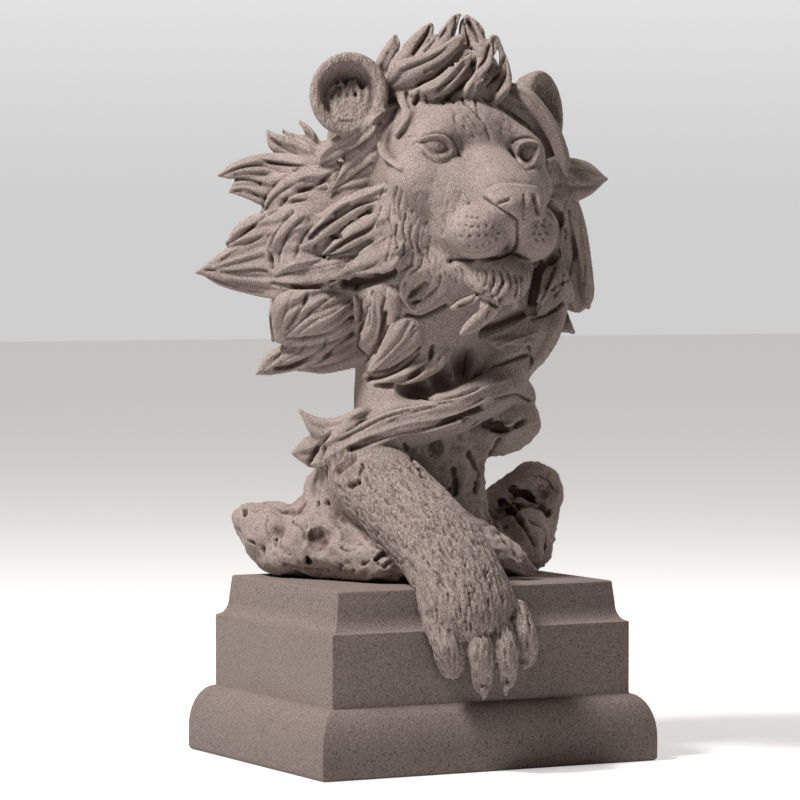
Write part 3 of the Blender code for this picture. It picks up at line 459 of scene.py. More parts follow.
class Clay:
    """A mesh under the modelling tools: strokes laid along lines found on its surface."""

    def __init__(self, mesh: bpy.types.Mesh) -> None:
        """Takes up the mesh."""
        self.mesh = mesh
        self.settle()

    def settle(self) -> None:
        """Reads the surface again after it has been worked."""
        self.spots = read_spots(self.mesh)
        self.normals = read_normals(self.mesh)
        self.order = np.argsort(self.spots[:, 2])
        self.heights = self.spots[self.order, 2]
        polygons = [tuple(p.vertices) for p in self.mesh.polygons]
        self.surface = BVHTree.FromPolygons([Vector(p) for p in self.spots.tolist()], polygons)

    def on_face(self, line: Line) -> list[Vector]:
        """Where a line given as (side, up) on the face lies on the surface."""
        hits = [self.surface.ray_cast(face(x, 70, z), -FORWARD)[0] for x, z in line]
        return [h for h in hits if h is not None]

    def on_drawing(self, line: Line) -> list[Vector]:
        """Where a line given as (across, up) on the drawing lies on the surface.

        Args:
            line: The line's points on the drawing.

        Returns:
            The points that lie on the surface, in metres.
        """
        hits = []
        for x, z in line:
            start = sighted(x, z, 110)
            hits.append(self.surface.ray_cast(start, (sighted(x, z, 0) - start).normalized())[0])
        return [h for h in hits if h is not None]

    def near(self, low: Spots, high: Spots) -> Spots:
        """Which points lie in a box.

        Args:
            low: The box's lowest corner.
            high: Its highest corner.

        Returns:
            The numbers of the points.
        """
        first, last = np.searchsorted(self.heights, (low[2] - 0.002, high[2] + 0.002))
        slab = self.order[first:last]
        spots = self.spots[slab]
        return slab[((spots > low) & (spots < high)).all(axis=1)]

    def stroke(self, line: list[Vector], width: float, height: float, power: float = 2.0,
               push: Vector | None = None) -> None:
        """Raises a round-edged stroke along a line on the surface.

        Args:
            line: The points of the line.
            width: How far the stroke reaches to either side, in millimetres.
            height: How far it stands out, in millimetres; below zero it cuts in.
            power: How steeply it falls away to its edge.
            push: The direction it moves the surface in, or None for straight out.
        """
        if len(line) == 0:
            return
        points = np.array([list(p) for p in line])
        width *= MM
        near = self.near(points.min(axis=0) - width, points.max(axis=0) + width)
        if len(near) == 0:
            return
        spots = self.spots[near]
        best = np.linalg.norm(spots - points[0], axis=1)
        for a, b in zip(points, points[1:]):
            run = b - a
            if run @ run > 0.006**2:
                run = run * 0
            t = np.clip((spots - a) @ run / max(run @ run, 1e-12), 0, 1)
            best = np.minimum(best, np.linalg.norm(spots - a - t[:, None] * run, axis=1))
        share = np.clip(1 - (best / width) ** 2, 0, 1) ** power
        aim = self.normals[near] if push is None else np.array(push)[None, :]
        self.spots[near] = spots + aim * (share * height * MM)[:, None]

    def draw(self, lines: tuple) -> None:
        """Strokes from the drawing, each with its half width and its height in millimetres.

        Args:
            lines: For each stroke its points, its half width and its height.
        """
        for line, width, height in lines:
            length = np.linalg.norm(np.diff(np.array(line), axis=0), axis=1).sum()
            self.stroke(self.on_drawing(even_path(line, max(4, round(length / 1.2))).tolist()), width, height)

    def done(self) -> None:
        """Writes the worked surface back and reads it again."""
        write_spots(self.mesh, self.spots)
        self.settle()


# The head and the body under the hair


def add_head(flesh: Flesh) -> None:
    """The bare head: skull, brow, bridge, cheekbones, muzzle, chin and jaw.

    Args:
        flesh: The masses that these join.
    """
    flesh.head_mass((0, -47, -4), (41, 40, 33))
    flesh.head_mass((0, -21, 4), (24, 13, 17))
    flesh.head_mass((17, -16, 6), (11, 7, 6), both=True)
    flesh.head_mass((25, -18, -15), (14, 16, 14), both=True)
    flesh.limb([face(4, -9, -8), face(4, 7, -16), face(4, 21, -25.5)], (9.5, 9, 8))
    flesh.limb([face(-4, -9, -8), face(-4, 7, -16), face(-4, 21, -25.5)], (9.5, 9, 8))
    flesh.head_mass((11, -3, -23), (11, 16, 13), both=True)
    flesh.head_mass((16, -5, -21), (12, 12, 15), both=True)
    flesh.head_mass((13, 12, -37), (12.5, 12.5, 11.5), both=True)
    flesh.head_mass((14, -4, -35), (10, 14, 11), both=True)
    flesh.head_mass((0, 22.5, -25), (12, 7.5, 6))
    flesh.head_mass((0, 20, -31), (6, 6, 7))
    flesh.head_mass((0, 11, -57), (13.5, 12, 11.5))
    flesh.limb([face(0, 4, -54), face(16, -24, -50)], (9, 13))
    flesh.limb([face(0, 4, -54), face(-16, -24, -50)], (9, 13))
    flesh.head_mass((23, -32, -34), (16, 20, 22), both=True)


def add_body(flesh: Flesh) -> None:
    """The masses under the mane, the neck and the hair that sweeps round its foot.

    Args:
        flesh: The masses that these join.
    """
    flesh.mass(8, 297, -8, (30, 26, 16))
    flesh.mass(12, 308, -8, (23, 16, 13))
    flesh.mass(-34, 232, -18, (38, 28, 46))
    flesh.mass(-44, 203, -14, (22, 20, 26))
    flesh.mass(-26, 246, -4, (14, 18, 34))
    flesh.mass(-4, 246, -32, (44, 30, 54))
    flesh.mass(-4, 205, -22, (34, 26, 34))
    flesh.mass(42, 262, -32, (20, 26, 30))
    flesh.mass(54, 230, -32, (15, 24, 36))
    flesh.mass(28, 196, -16, (26, 16, 30))
    flesh.limb([at(2, -10, 215), at(-2, -13, 178), at(-4, -10, 150)], (36, 25, 26))
    flesh.limb([at(58, -14, 212), at(52, -10, 190), at(38, -4, 172)], (10, 10, 8))
    flesh.limb([at(40, -2, 168), at(18, 12, 156), at(-8, 14, 149), at(-34, 8, 142)], (8, 9, 10, 9))


def add_foreleg(flesh: Flesh) -> None:
    """The foreleg that leaves the rock and hangs over the edge, down to the paw's pad.

    Args:
        flesh: The masses that these join.
    """
    run = [at(-30, 2, 132), at(-11, 26, 116), at(9, 48, 96), at(19, 59, 77), at(22, 64, 66)]
    flesh.limb(run, (17, 18.5, 18.5, 18.5, 16))
    flesh.mass(22, 66, 63, (21, 14, 12))


# The foreleg's middle line as its fur follows it: across, towards the viewer and up
FORELEG = ((-30, 2, 132), (-11, 26, 116), (9, 48, 96), (20, 60, 77))
# Each toe: base, knuckle and tip (across, up), its radius and how far it stands towards the viewer
TOES = (
    ((9.0, 60.0), (13.2, 49.0), (14.2, 39.8), 8.2, 71),
    ((26.0, 54.5), (27.7, 44.2), (27.9, 31.8), 6.0, 76),
    ((36.3, 57.0), (38.8, 45.2), (39.2, 33.9), 5.7, 74),
    ((42.6, 64.5), (46.9, 52.9), (48.0, 43.7), 6.0, 67),
)
# Each claw: root and tip (across, up)
CLAWS = (
    ((16.3, 38.0), (16.2, 33.4)),
    ((28.6, 29.6), (29.0, 25.0)),
    ((38.8, 31.4), (38.4, 27.6)),
    ((46.8, 41.0), (46.2, 38.8)),
)
# The eyeballs: the place of the left one on the head, their radius, and how thick the lids are
EYE = (23.0, -12.7, 0.0)
EYE_RADIUS = 8.2
LID = 1.1


def add_eyes(flesh: Flesh) -> None:
    """The eyes under their closed lids, which are opened on the finished skin."""
    over = EYE_RADIUS + LID
    flesh.head_mass(EYE, (over, over, over), both=True)


def add_toes(shapes: Heap) -> None:
    """Four toes, apart from one another, each with the blunt tip of its claw.

    Args:
        shapes: The shapes that these join.
    """
    for (base, knuckle, tip, radius, depth), (root, point) in zip(TOES, CLAWS):
        line = [sighted(*base, depth - 4), sighted(*knuckle, depth + 1), sighted(*tip, depth - 3)]
        path = smooth_path(line, 7)
        shapes.string(path, radius * (1 - 0.30 * np.linspace(0, 1, len(path)) ** 3) * MM)
        nail = [sighted(*root, depth + 0.5), sighted(*point, depth - 2)]
        shapes.string(smooth_path(nail, 6), np.linspace(2.0, 1.1, 7) * MM, divisions=2)


def model_face(clay: Clay) -> None:
    """The sockets, nose, mouth and cheeks, worked into the head.

    Args:
        clay: The surface that is worked.
    """
    for hand in (1, -1):
        clay.stroke(clay.on_face([(hand * 12, -4), (hand * 11.5, -8), (hand * 13, -14)]), 6, -1.0)
        clay.stroke(clay.on_face([(hand * 33, 6), (hand * 26, 9.5), (hand * 19, 8)]), 4.5, -1.0)
    for wing, width, depth in (
        (((14.5, -22), (12, -26.5), (7, -32), (1.5, -35.5)), 3.0, -1.6),
        (((2, -45), (7, -48.5), (13, -49.5), (19, -49), (22, -47.5)), 2.8, -2.0),
    ):
        clay.stroke(clay.on_face(list(wing)), width, depth)
    clay.done()


def hollow_throat(clay: Clay) -> None:
    """The deep hollow under the jaw, above the strands that sweep round the neck.

    Args:
        clay: The surface that is worked.
    """
    line = clay.on_drawing([(-1, 165), (8.8, 170), (19, 176), (27, 181.5)])
    clay.stroke(line, 11.5, -14, push=TOWARD)
    clay.done()


# Leaves of hair: the upper and the lower edge, each from root to tip

LEFT_LOCKS = (
    (((-46, 279), (-51, 284), (-54.5, 285)), ((-44, 270), (-51, 278), (-54.5, 285))),
    (((-48, 278), (-58, 280), (-62, 281)), ((-46, 266), (-57, 273), (-62, 281))),
    (((-48, 276), (-62, 279), (-69, 281)), ((-46, 260), (-60, 267), (-68, 273), (-69, 281))),
    (
        ((-42, 268), (-62, 271), (-75, 270), (-84, 266.5), (-91, 261)),
        ((-42, 248), (-62, 256), (-75, 258), (-84, 258.5), (-91, 260)),
        1.5,
    ),
    (
        ((-48, 262), (-68, 262), (-82, 259), (-86, 253.5)),
        ((-46, 240), (-64, 244), (-78, 250), (-86, 253)),
    ),
    (
        ((-42, 252), (-62, 247), (-76, 243), (-84, 237), (-87.5, 230)),
        ((-42, 232), (-62, 228), (-76, 227), (-84, 228), (-87.5, 230)),
        2.5,
    ),
    (
        ((-40, 240), (-65, 238), (-82, 231), (-90, 226), (-97, 220.5), (-101, 217)),
        ((-40, 203), (-65, 205), (-80, 208), (-90, 211), (-96, 214.5), (-101, 217)),
    ),
    (
        ((-38, 214), (-54, 211), (-65, 206), (-67, 196), (-65, 186)),
        ((-26, 198), (-38, 188), (-50, 184), (-60, 184), (-65, 186)),
        2.5,
    ),
    (
        ((-26, 198), (-45, 191), (-60, 186), (-69, 181), (-74, 172)),
        ((-24, 180), (-40, 176), (-55, 173), (-66, 171), (-74, 171)),
    ),
    (
        ((-22, 188), (-34, 185), (-45, 179), (-56, 174)),
        ((-22, 176), (-32, 173.5), (-44, 171.5), (-56, 173)),
    ),
)
LEFT_INNER_LOCKS = (
    (
        ((-46, 252), (-58, 245), (-68, 233), (-70, 222), (-68, 213)),
        ((-36, 236), (-48, 230), (-57, 224), (-63, 218), (-68, 213)),
    ),
    (
        ((-22, 270), (-38, 267), (-55, 263), (-66, 255), (-72, 244)),
        ((-22, 254), (-38, 254), (-52, 254), (-63, 249), (-72, 243)),
    ),
    (
        ((-28, 229), (-40, 224), (-52, 222), (-62, 219), (-68, 212.5)),
        ((-26, 214), (-40, 210), (-54, 210.5), (-61, 211), (-68, 212)),
    ),
    (((-28, 206), (-44, 197), (-55, 190), (-63, 187)), ((-26, 192), (-40, 186), (-52, 185), (-63, 186))),
)
CHEEK_LOCKS = (
    (
        ((-18, 281), (-29, 273), (-37, 264), (-42.5, 253)),
        ((-16, 268), (-26, 261), (-34, 255), (-42, 252.5)),
    ),
    (
        ((-14, 259), (-28, 254), (-41, 247), (-50, 239), (-52, 230)),
        ((-14, 249), (-25, 244), (-35, 237), (-44, 229), (-51, 229)),
    ),
    (
        ((-15, 247), (-27, 242), (-36, 235), (-44, 225.5)),
        ((-13, 236), (-25, 231), (-35, 226), (-43.5, 224.5)),
    ),
    (
        ((-6, 236), (-18, 232), (-27, 226), (-34.5, 218)),
        ((-6, 221), (-17, 216), (-26, 215.5), (-34, 216.5)),
    ),
)
# The lock that crosses the foot of the near ear, and how far it stands towards the viewer from root to tip
EAR_LOCK = (
    ((-7, 297), (-21.7, 288.3), (-31.6, 281.5), (-40.1, 277), (-45.2, 271.2), (-46.1, 264)),
    ((-11, 286), (-18.1, 278.5), (-27.1, 271.7), (-37, 267.2), (-45.6, 263.6)),
    (16, 22, 24, 20, 13, 6),
)
JAW_LOCKS = (
    (((-31, 212), (-30, 200), (-29, 190)), ((-26, 212), (-26, 200), (-28.5, 190))),
    (((-25, 211), (-24, 197), (-30, 185)), ((-16, 208), (-16, 193), (-21, 183), (-29.5, 184))),
    (((-16, 212), (-15, 202), (-13, 195)), ((-9, 212), (-9, 202), (-12, 195))),
    (((-10, 202), (-16, 189), (-21, 179), (-26.5, 170)), ((6, 192), (-4, 180), (-15, 173), (-26, 169.5))),
    (((14, 191), (6, 182), (-7, 174), (-22, 167)), ((17, 183), (9, 173), (-4, 167), (-21, 166))),
    (((-3, 223), (-9, 214), (-9, 206), (-3, 199)), ((3, 219), (-3, 212), (-4, 206), (-2.5, 199.5))),
    (((10, 215), (4, 211), (0, 206), (-3, 200)), ((14, 210), (8, 205), (3, 201), (-2.5, 199.5))),
)
CHIN_TUFTS = (
    (
        ((27, 208.5), (21, 206.5), (16, 204), (13.4, 200.8)),
        ((28, 205), (22.3, 202), (17.8, 200.2), (13.8, 200.4)),
        1.5,
    ),
    (
        ((29, 208), (25, 200), (20, 194.5), (17, 189.5)),
        ((41, 205), (33.5, 197), (26, 191), (18.5, 188.3)),
        -1.5,
    ),
    (((34, 216), (32, 208), (34, 202)), ((41, 216), (40, 208), (35, 201))),
    (((39, 216), (39, 208), (42, 200.5)), ((47, 216), (47, 208), (43, 200))),
)
FORELOCK = (
    (
        ((-7.7, 309), (2.1, 319.3), (9.6, 326.8), (14, 332), (17.8, 333.2)),
        ((5.8, 307), (11.1, 316.3), (15.5, 323), (17, 328.3), (18.2, 333)),
        -0.5,
    ),
    (
        ((14, 312), (16.5, 322), (17.4, 329), (20, 332.8)),
        ((29, 309), (30.5, 320), (27.4, 327.8), (21.4, 332.6)),
        -1.5,
    ),
    (
        ((-22.6, 308), (-18, 316), (-13.6, 321.9), (-11.4, 323.8)),
        ((-14.4, 304), (-11.4, 312), (-8.8, 319), (-11, 323.6)),
        -1.0,
    ),
    (
        ((-18, 305), (-9.2, 317.8), (-1.7, 325.3), (3.6, 328.8), (5.4, 328.6)),
        ((-4, 304), (1.3, 315), (5.1, 321.5), (6.2, 326), (5.7, 328.4)),
        1.0,
    ),
    (
        ((23, 293), (29.8, 302), (34.2, 308), (35, 314.2), (33.3, 323.6)),
        ((37, 291.5), (41, 300.6), (40.6, 308.1), (37.6, 316.3), (33.7, 323.3)),
        0.5,
    ),
    (
        ((15.5, 296), (20.8, 304.3), (23, 309.6), (26.8, 316.5), (31.9, 323.8)),
        ((25.3, 295), (29.4, 305.8), (33, 311.8), (34.4, 317.8), (32.4, 323.7)),
        1.5,
    ),
    (
        ((-6.9, 298.5), (5.8, 303.8), (14, 310.5), (19.3, 315.4), (22.7, 316.9)),
        ((1, 293), (11.1, 297), (18.5, 304.8), (22.6, 311), (23.2, 316.4)),
        2.0,
    ),
    (
        ((-18.1, 304), (-11.4, 311.3), (-0.2, 315), (8.8, 318.8), (14.8, 322.9), (19.3, 324)),
        ((-9.2, 296.5), (-0.2, 301.5), (8.8, 307.8), (16.3, 314.8), (20.2, 320), (19.7, 323.7)),
        4.0,
    ),
)
RIGHT_LOCKS = (
    (
        ((38, 305), (50, 299), (61, 285), (67, 270), (66, 260)),
        ((38, 296), (49, 288), (57, 277), (61, 267), (65, 260)),
    ),
    (
        ((54, 271), (66, 269), (75, 267), (80, 263), (84, 259)),
        ((54, 250), (65, 248), (72, 249.5), (78, 253), (84, 259)),
    ),
    (
        ((66, 204), (65, 195), (61, 185), (55, 176), (44, 168)),
        ((54, 204), (50, 192), (46, 182), (38, 172), (40, 167)),
    ),
    (((60, 197), (52, 191), (42, 189), (31, 187)), ((58, 184), (50, 179), (40, 180.5), (30.5, 184.5))),
    (((52, 186), (43, 178), (34, 174), (25.5, 166.5)), ((50, 172), (42, 165), (33, 162), (25, 164))),
)
CURTAIN = (
    (
        ((60, 264), (69, 253), (74, 240), (77, 222), (78, 206), (73, 199)),
        ((50, 244), (54, 232), (57, 222), (58, 212), (60, 204), (68, 199)),
    ),
)
CURTAIN_FOLDS = (
    (
        ((56, 254), (64, 253), (70, 243), (75, 228), (77, 212), (77, 201)),
        ((56, 246), (64, 244), (68, 234), (71, 222), (73, 210), (74, 200)),
    ),
    (
        ((52, 253), (61, 252), (66, 245), (65, 232), (63, 218), (57, 204)),
        ((50, 244), (58, 243), (61, 235), (60, 225), (56, 213), (50, 203)),
    ),
    (((63, 226), (66, 218), (69, 210), (70, 205)), ((57, 218), (60, 210), (62, 204), (64, 202))),
)
BROW_LOCKS = (
    (
        ((28, 302), (42, 297), (54, 287), (62, 275), (64.5, 262)),
        ((30, 293), (40, 289), (50, 281), (56, 270), (60, 259)),
    ),
    (((-6, 299), (-3, 291), (-5, 284), (-11, 278)), ((-13, 298), (-9, 291), (-9, 285), (-12, 279))),
    (((-9, 286), (-14, 278), (-14, 270), (-8, 264)), ((-16, 286), (-19.5, 278), (-18, 269), (-9, 263))),
)
SWIRL_LOCKS = (
    (
        ((46, 171), (30, 162), (16, 156), (0, 153), (-15, 149), (-28, 144), (-40, 138), (-51, 131)),
        ((42, 160), (30, 152), (12, 146), (-8, 143), (-20, 139), (-32, 135), (-44, 129), (-51, 129)),
    ),
    (
        ((46, 174), (30, 167), (20, 162), (0, 158), (-15, 155), (-26, 150), (-37, 143), (-46, 135)),
        ((46, 167), (30, 160), (18, 155), (0, 151.5), (-15, 148), (-26, 143), (-38, 137), (-46, 133)),
    ),
    (
        ((-22, 160), (-36, 153), (-46, 152.5), (-54.5, 156)),
        ((-24, 144), (-38, 140), (-49, 144), (-54.5, 155)),
    ),
    (((-26, 152), (-40, 148), (-51, 144), (-58, 137)), ((-26, 138), (-38, 132), (-48, 129), (-58, 135))),
)


@dataclass
class Hair:
    """Leaves of hair laid over a surface, as seen on the drawing or from behind it."""

    shapes: Heap
    surface: BVHTree
    side: From = From.FRONT
    nearest: float = 200.0
    strand: float = 7.0
    groove: float = 2.2
    seed: int = 1

    def depth_at(self, across: float, up: float) -> float | None:
        """How far towards the viewer the surface stands behind a point of the drawing.

        Args:
            across: The point's place across the drawing, in millimetres.
            up: Its place up the drawing.

        Returns:
            The depth in millimetres, or None where there is no surface.
        """
        start = sighted(across, up, 150 * self.side.value)
        aim = (sighted(across, up, 0) - start).normalized()
        hit = self.surface.ray_cast(start, aim)[0]
        return None if hit is None else min(hit.dot(TOWARD) / MM, self.nearest)

    def depths(self, middles: Spots, lift: float, trail: float) -> Spots:
        """How far towards the viewer a leaf stands along its middle line.

        Args:
            middles: The middle line on the drawing, from root to tip.
            lift: How far the leaf stands off the surface, in millimetres.
            trail: How fast it falls back past the edge of the surface.

        Returns:
            One depth in millimetres for each point of the line, evened along it.
        """
        hand = self.side.value
        step = 81.0 / len(middles)
        found: list[float] = []
        for across, up in middles:
            depth = self.depth_at(across, up)
            if depth is None:
                depth = (found[-1] - trail * hand * 18 / len(middles)) if found else 0.0
            elif found:
                depth = min(max(depth, found[-1] - step), found[-1] + step)
            found.append(depth)
        window = 2 * round(len(middles) / 9) + 1
        shape = np.hanning(window + 2)[1:-1]
        padded = np.pad(np.array(found), window // 2, mode="edge")
        return np.convolve(padded, shape / shape.sum(), mode="valid") + lift * hand

    def strands(self, x: Spots, along: float, cuts: Spots, wander: Spots, depth: float) -> Spots:
        """How far the grooves between the strands lower the leaf, in millimetres.

        Args:
            x: Places across the leaf, from -1 to 1.
            along: The place along the leaf, from 0 at the root to 1 at the tip.
            cuts: Where the grooves run, from -1 to 1.
            wander: A phase for each groove's slow sway.
            depth: How deep the grooves are, in millimetres.

        Returns:
            One depth for each place.
        """
        swayed = cuts + 0.5 / len(cuts) * np.sin(along * 4.2 + wander)
        swayed[0], swayed[-1] = -1.05, 1.05
        swayed = np.maximum.accumulate(swayed)
        which = np.clip(np.searchsorted(swayed, x) - 1, 0, len(cuts) - 2)
        width = np.maximum(swayed[which + 1] - swayed[which], 1e-3)
        t = np.clip((x - swayed[which]) / width, 0, 1)
        crest = 0.66 + 0.14 * np.sin(wander[which])
        fall = np.where(t < crest, np.abs(1 - t / crest) ** 1.5, np.abs((t - crest) / (1 - crest)) ** 1.6)
        return depth * (fall * (0.85 + 0.15 * np.cos(wander[which])) + 0.12 * (1 + np.sin(3 * wander[which])))

    def leaf(self, upper: Line, lower: Line, lift: float = 1.0, hold: bool = False, plump: float = 0.30,
             trail: float = 0.3, over: tuple = ()) -> None:
        """One lock between its two drawn edges, rounded towards the viewer, parted into strands.

        Args:
            upper: The upper edge on the drawing, from root to tip.
            lower: The lower edge.
            lift: How far the lock stands off the surface, in millimetres.
            hold: Whether the lock keeps its root's depth, and hangs free.
            plump: How round it is, as a share of half its width.
            trail: How fast it falls back past the edge of the surface.
            over: How far it stands towards the viewer from root to tip, where that is given.
        """
        self.seed += 1
        chance = np.random.default_rng(self.seed)
        length = np.linalg.norm(np.diff(np.array(upper, float), axis=0), axis=1).sum()
        count = max(24, round(length / 1.1))
        top, bottom = even_path(upper, count), even_path(lower, count)
        width = np.linalg.norm(top - bottom, axis=1).max()
        sides = max(40, round(width * 4.5))
        angle = 2 * math.pi * np.arange(sides) / sides
        x, y = np.cos(angle), np.sin(angle)
        number = max(2, round(width / self.strand))
        broad = np.linspace(-1, 1, number + 1) + chance.uniform(-0.45, 0.45, number + 1) / number
        fine = np.linspace(-1, 1, number * 2 + 1) + chance.uniform(-0.3, 0.3, number * 2 + 1) / number / 2
        sway, shiver = chance.uniform(0, 6.28, number + 1), chance.uniform(0, 6.28, number * 2 + 1)
        middles = (top + bottom) / 2
        under = self.depths(middles, lift, trail)
        if hold:
            under = under[2] + (under - under[2]) * 0.12
        if over:
            under = even_path([(k, depth) for k, depth in enumerate(over)], count)[:, 1]
        rings = []
        way = np.array((0.0, 1.0))
        for i, depth in enumerate(under):
            along = i / (count - 1)
            root = max(0.0, 1 - along / 0.28)
            gap = (bottom[i] - top[i]) / 2
            size = math.hypot(*gap)
            if size > 0.9 or i == 0:
                way = gap / max(size, 1e-6)
            tip = max(0.0, (along - 0.93) / 0.07)
            half = max(size, 1.35) * math.sqrt(1 - 0.7 * tip**2)
            rise = half * plump + 0.9
            low = self.strands(x, along, broad, sway, min(self.groove, rise * 0.75))
            low += self.strands(x, along, fine, shiver, 0.35)
            out = np.where(y > 0, rise * y - low * np.clip(y * 2.2, 0, 1), rise * y)
            half *= 1 - 0.45 * root**2
            depth -= (rise + 2.0) * root**1.5 * self.side.value
            ring = []
            for across, off in zip((half * x).tolist(), out.tolist()):
                spot = middles[i] + way * across
                ring.append(sighted(spot[0], spot[1], depth + off * self.side.value))
            rings.append([list(p) for p in ring])
        self.shapes.skin_rings(np.array(rings))


def ear_frames() -> list[tuple]:
    """Each ear's middle and its directions: out of its opening, across it and up it.

    Returns:
        The four of them for the left ear and for the right one.
    """
    frames = []
    for hand in (1, -1):
        outward = (FORWARD * 0.84 + SIDE * (0.50 * hand) + CROWN * 0.12).normalized()
        across = CROWN.cross(outward).normalized()
        frames.append((face(49.5 * hand, -45, 21.8), outward, across, outward.cross(across).normalized()))
    return frames


# The ear's section: how far out of its middle, and how far from its axis, from the back to the recess
EAR_SECTION = (
    (-12, 5), (-11, 11), (-6, 15.8), (-1, 17.3), (2.4, 17.6), (4.2, 16.4), (4.4, 14.2), (3.2, 12.4),
    (-0.5, 11.2), (-5, 9.6), (-7.6, 6.5), (-8.2, 2),
)


def add_ears(shapes: Heap) -> None:
    """Two round ears with thick rims, cupped towards the front.

    Args:
        shapes: The shapes that these join.
    """
    sides = 48
    circle = [2 * math.pi * j / sides for j in range(sides)]
    for centre, outward, across, upward in ear_frames():
        rings = []
        for out, size in EAR_SECTION:
            turns = [across * (math.cos(a) * size) + upward * (math.sin(a) * size * 1.08) for a in circle]
            rings.append([list(centre + (outward * out + turn) * MM) for turn in turns])
        shapes.skin_rings(np.array(rings))


# The rock


def add_rock(flesh: Flesh) -> None:
    """The weathered rock that the neck and the foreleg grow out of.

    Args:
        flesh: The masses that these join.
    """
    flesh.mass(-66, 100, -24, (15, 24, 14))
    flesh.mass(-78, 107, -26, (7, 12, 6))
    flesh.mass(-56, 90, -18, (17, 28, 11))
    flesh.mass(-40, 98, -14, (24, 36, 22))
    flesh.mass(-34, 118, -12, (18, 26, 18))
    flesh.mass(-26, 90, 8, (20, 24, 14))
    flesh.mass(-15, 87, 24, (15, 16, 10))
    flesh.mass(2, 96, -18, (30, 34, 22))
    flesh.limb([at(6, -8, 150), at(10, -10, 128), at(10, -14, 108), at(6, -18, 96)], (19, 17, 18, 22))
    flesh.mass(32, 146, -10, (18, 16, 11))
    flesh.limb([at(24, -10, 154), at(40, -12, 161), at(46, -12, 161)], (8, 7, 5.5))
    flesh.limb([at(30, -8, 146), at(44, -10, 150), at(49, -10, 149)], (7, 6, 4.5))
    flesh.mass(34, 92, -30, (25, 28, 14))
    flesh.mass(46, 101, -30, (12, 20, 12))
    flesh.limb([at(28, -30, 106), at(40, -36, 114), at(52, -38, 123), at(58, -38, 122)], (7, 7, 6, 5))
    flesh.limb([at(61, -38, 118), at(56, -36, 106), at(54, -34, 92)], (4.5, 6, 6))
    flesh.limb([at(16, 10, 110), at(34, 14, 95), at(50, 12, 84)], (5, 5.5, 4))


# Hollows worn into the rock: across, up, half width and depth in millimetres
PITS = (
    (-46, 97, 6.5, 3.0), (-50, 87, 2.2, 2.0), (-17, 90, 3.2, 2.0), (7, 138, 4.5, 5.0),
    (0, 129, 2.5, 2.5), (1, 126, 2.0, 2.5), (14, 119, 2.2, 2.0), (38, 103, 2.0, 2.0), (36, 146, 3.5, 3.0),
    (26, 149, 3.5, 3.0), (46, 117, 6.5, 5.5), (40, 113, 5.0, 5.0), (54, 119, 4.0, 3.5), (-28, 99, 9.0, 2.0),
)


def weather_rock(clay: Clay) -> None:
    """The larger hollows in the rock.

    Args:
        clay: The surface that is worked.
    """
    for across, up, width, depth in PITS:
        clay.stroke(clay.on_drawing([(across, up)]), width, -depth, power=1.2)
    clay.done()


def drawn_leaf(root: tuple, tip: tuple, width: float, bow: float = 0.0) -> list[Line]:
    """The two edges of a leaf of hair.

    Args:
        root: Where its middle line starts on the drawing.
        tip: Where it ends.
        width: Its width in millimetres.
        bow: How far the middle line bends aside.

    Returns:
        The upper and the lower edge.
    """
    root, tip = np.array(root, float), np.array(tip, float)
    along = tip - root
    aside = np.array((-along[1], along[0])) / np.hypot(*along)
    stations = ((0.0, 0.36), (0.35, 0.5), (0.7, 0.34), (1.0, 0.02))
    edges = []
    for sign in (1, -1):
        off = [sign * width * w + bow * 4 * t * (1 - t) for t, w in stations]
        edges.append([root + along * t + aside * far for (t, w), far in zip(stations, off)])
    return edges


# Rows of the hair behind: how high, how wide either way, how many locks, how long and how broad
BACK_ROWS = (
    (196, -32, 30, 4, 30, 17),
    (218, -46, 44, 5, 38, 21),
    (244, -48, 50, 5, 40, 22),
    (270, -40, 46, 5, 38, 20),
    (292, -22, 34, 4, 34, 17),
    (312, -8, 22, 3, 30, 14),
)


def add_back_locks(hair: Hair) -> None:
    """Plainer locks down the back, falling away from the parting to both sides.

    Args:
        hair: The hair that they join, laid from behind.
    """
    for row, (up, left, right, count, length, width) in enumerate(BACK_ROWS):
        for k in range(count):
            share = k / (count - 1)
            across = left + (right - left) * share
            lean = (share - 0.5) * 1.3 + (0.08 if (k + row) % 2 else -0.08)
            fall = length * (1.0 if (k + row) % 2 else 0.86)
            tip = (across + fall * math.sin(lean), up - fall * math.cos(lean))
            upper, lower = drawn_leaf((across, up), tip, width, 2.5 if k % 2 else -2.5)
            hair.leaf(upper, lower, 2.0)


# Geometry node trees


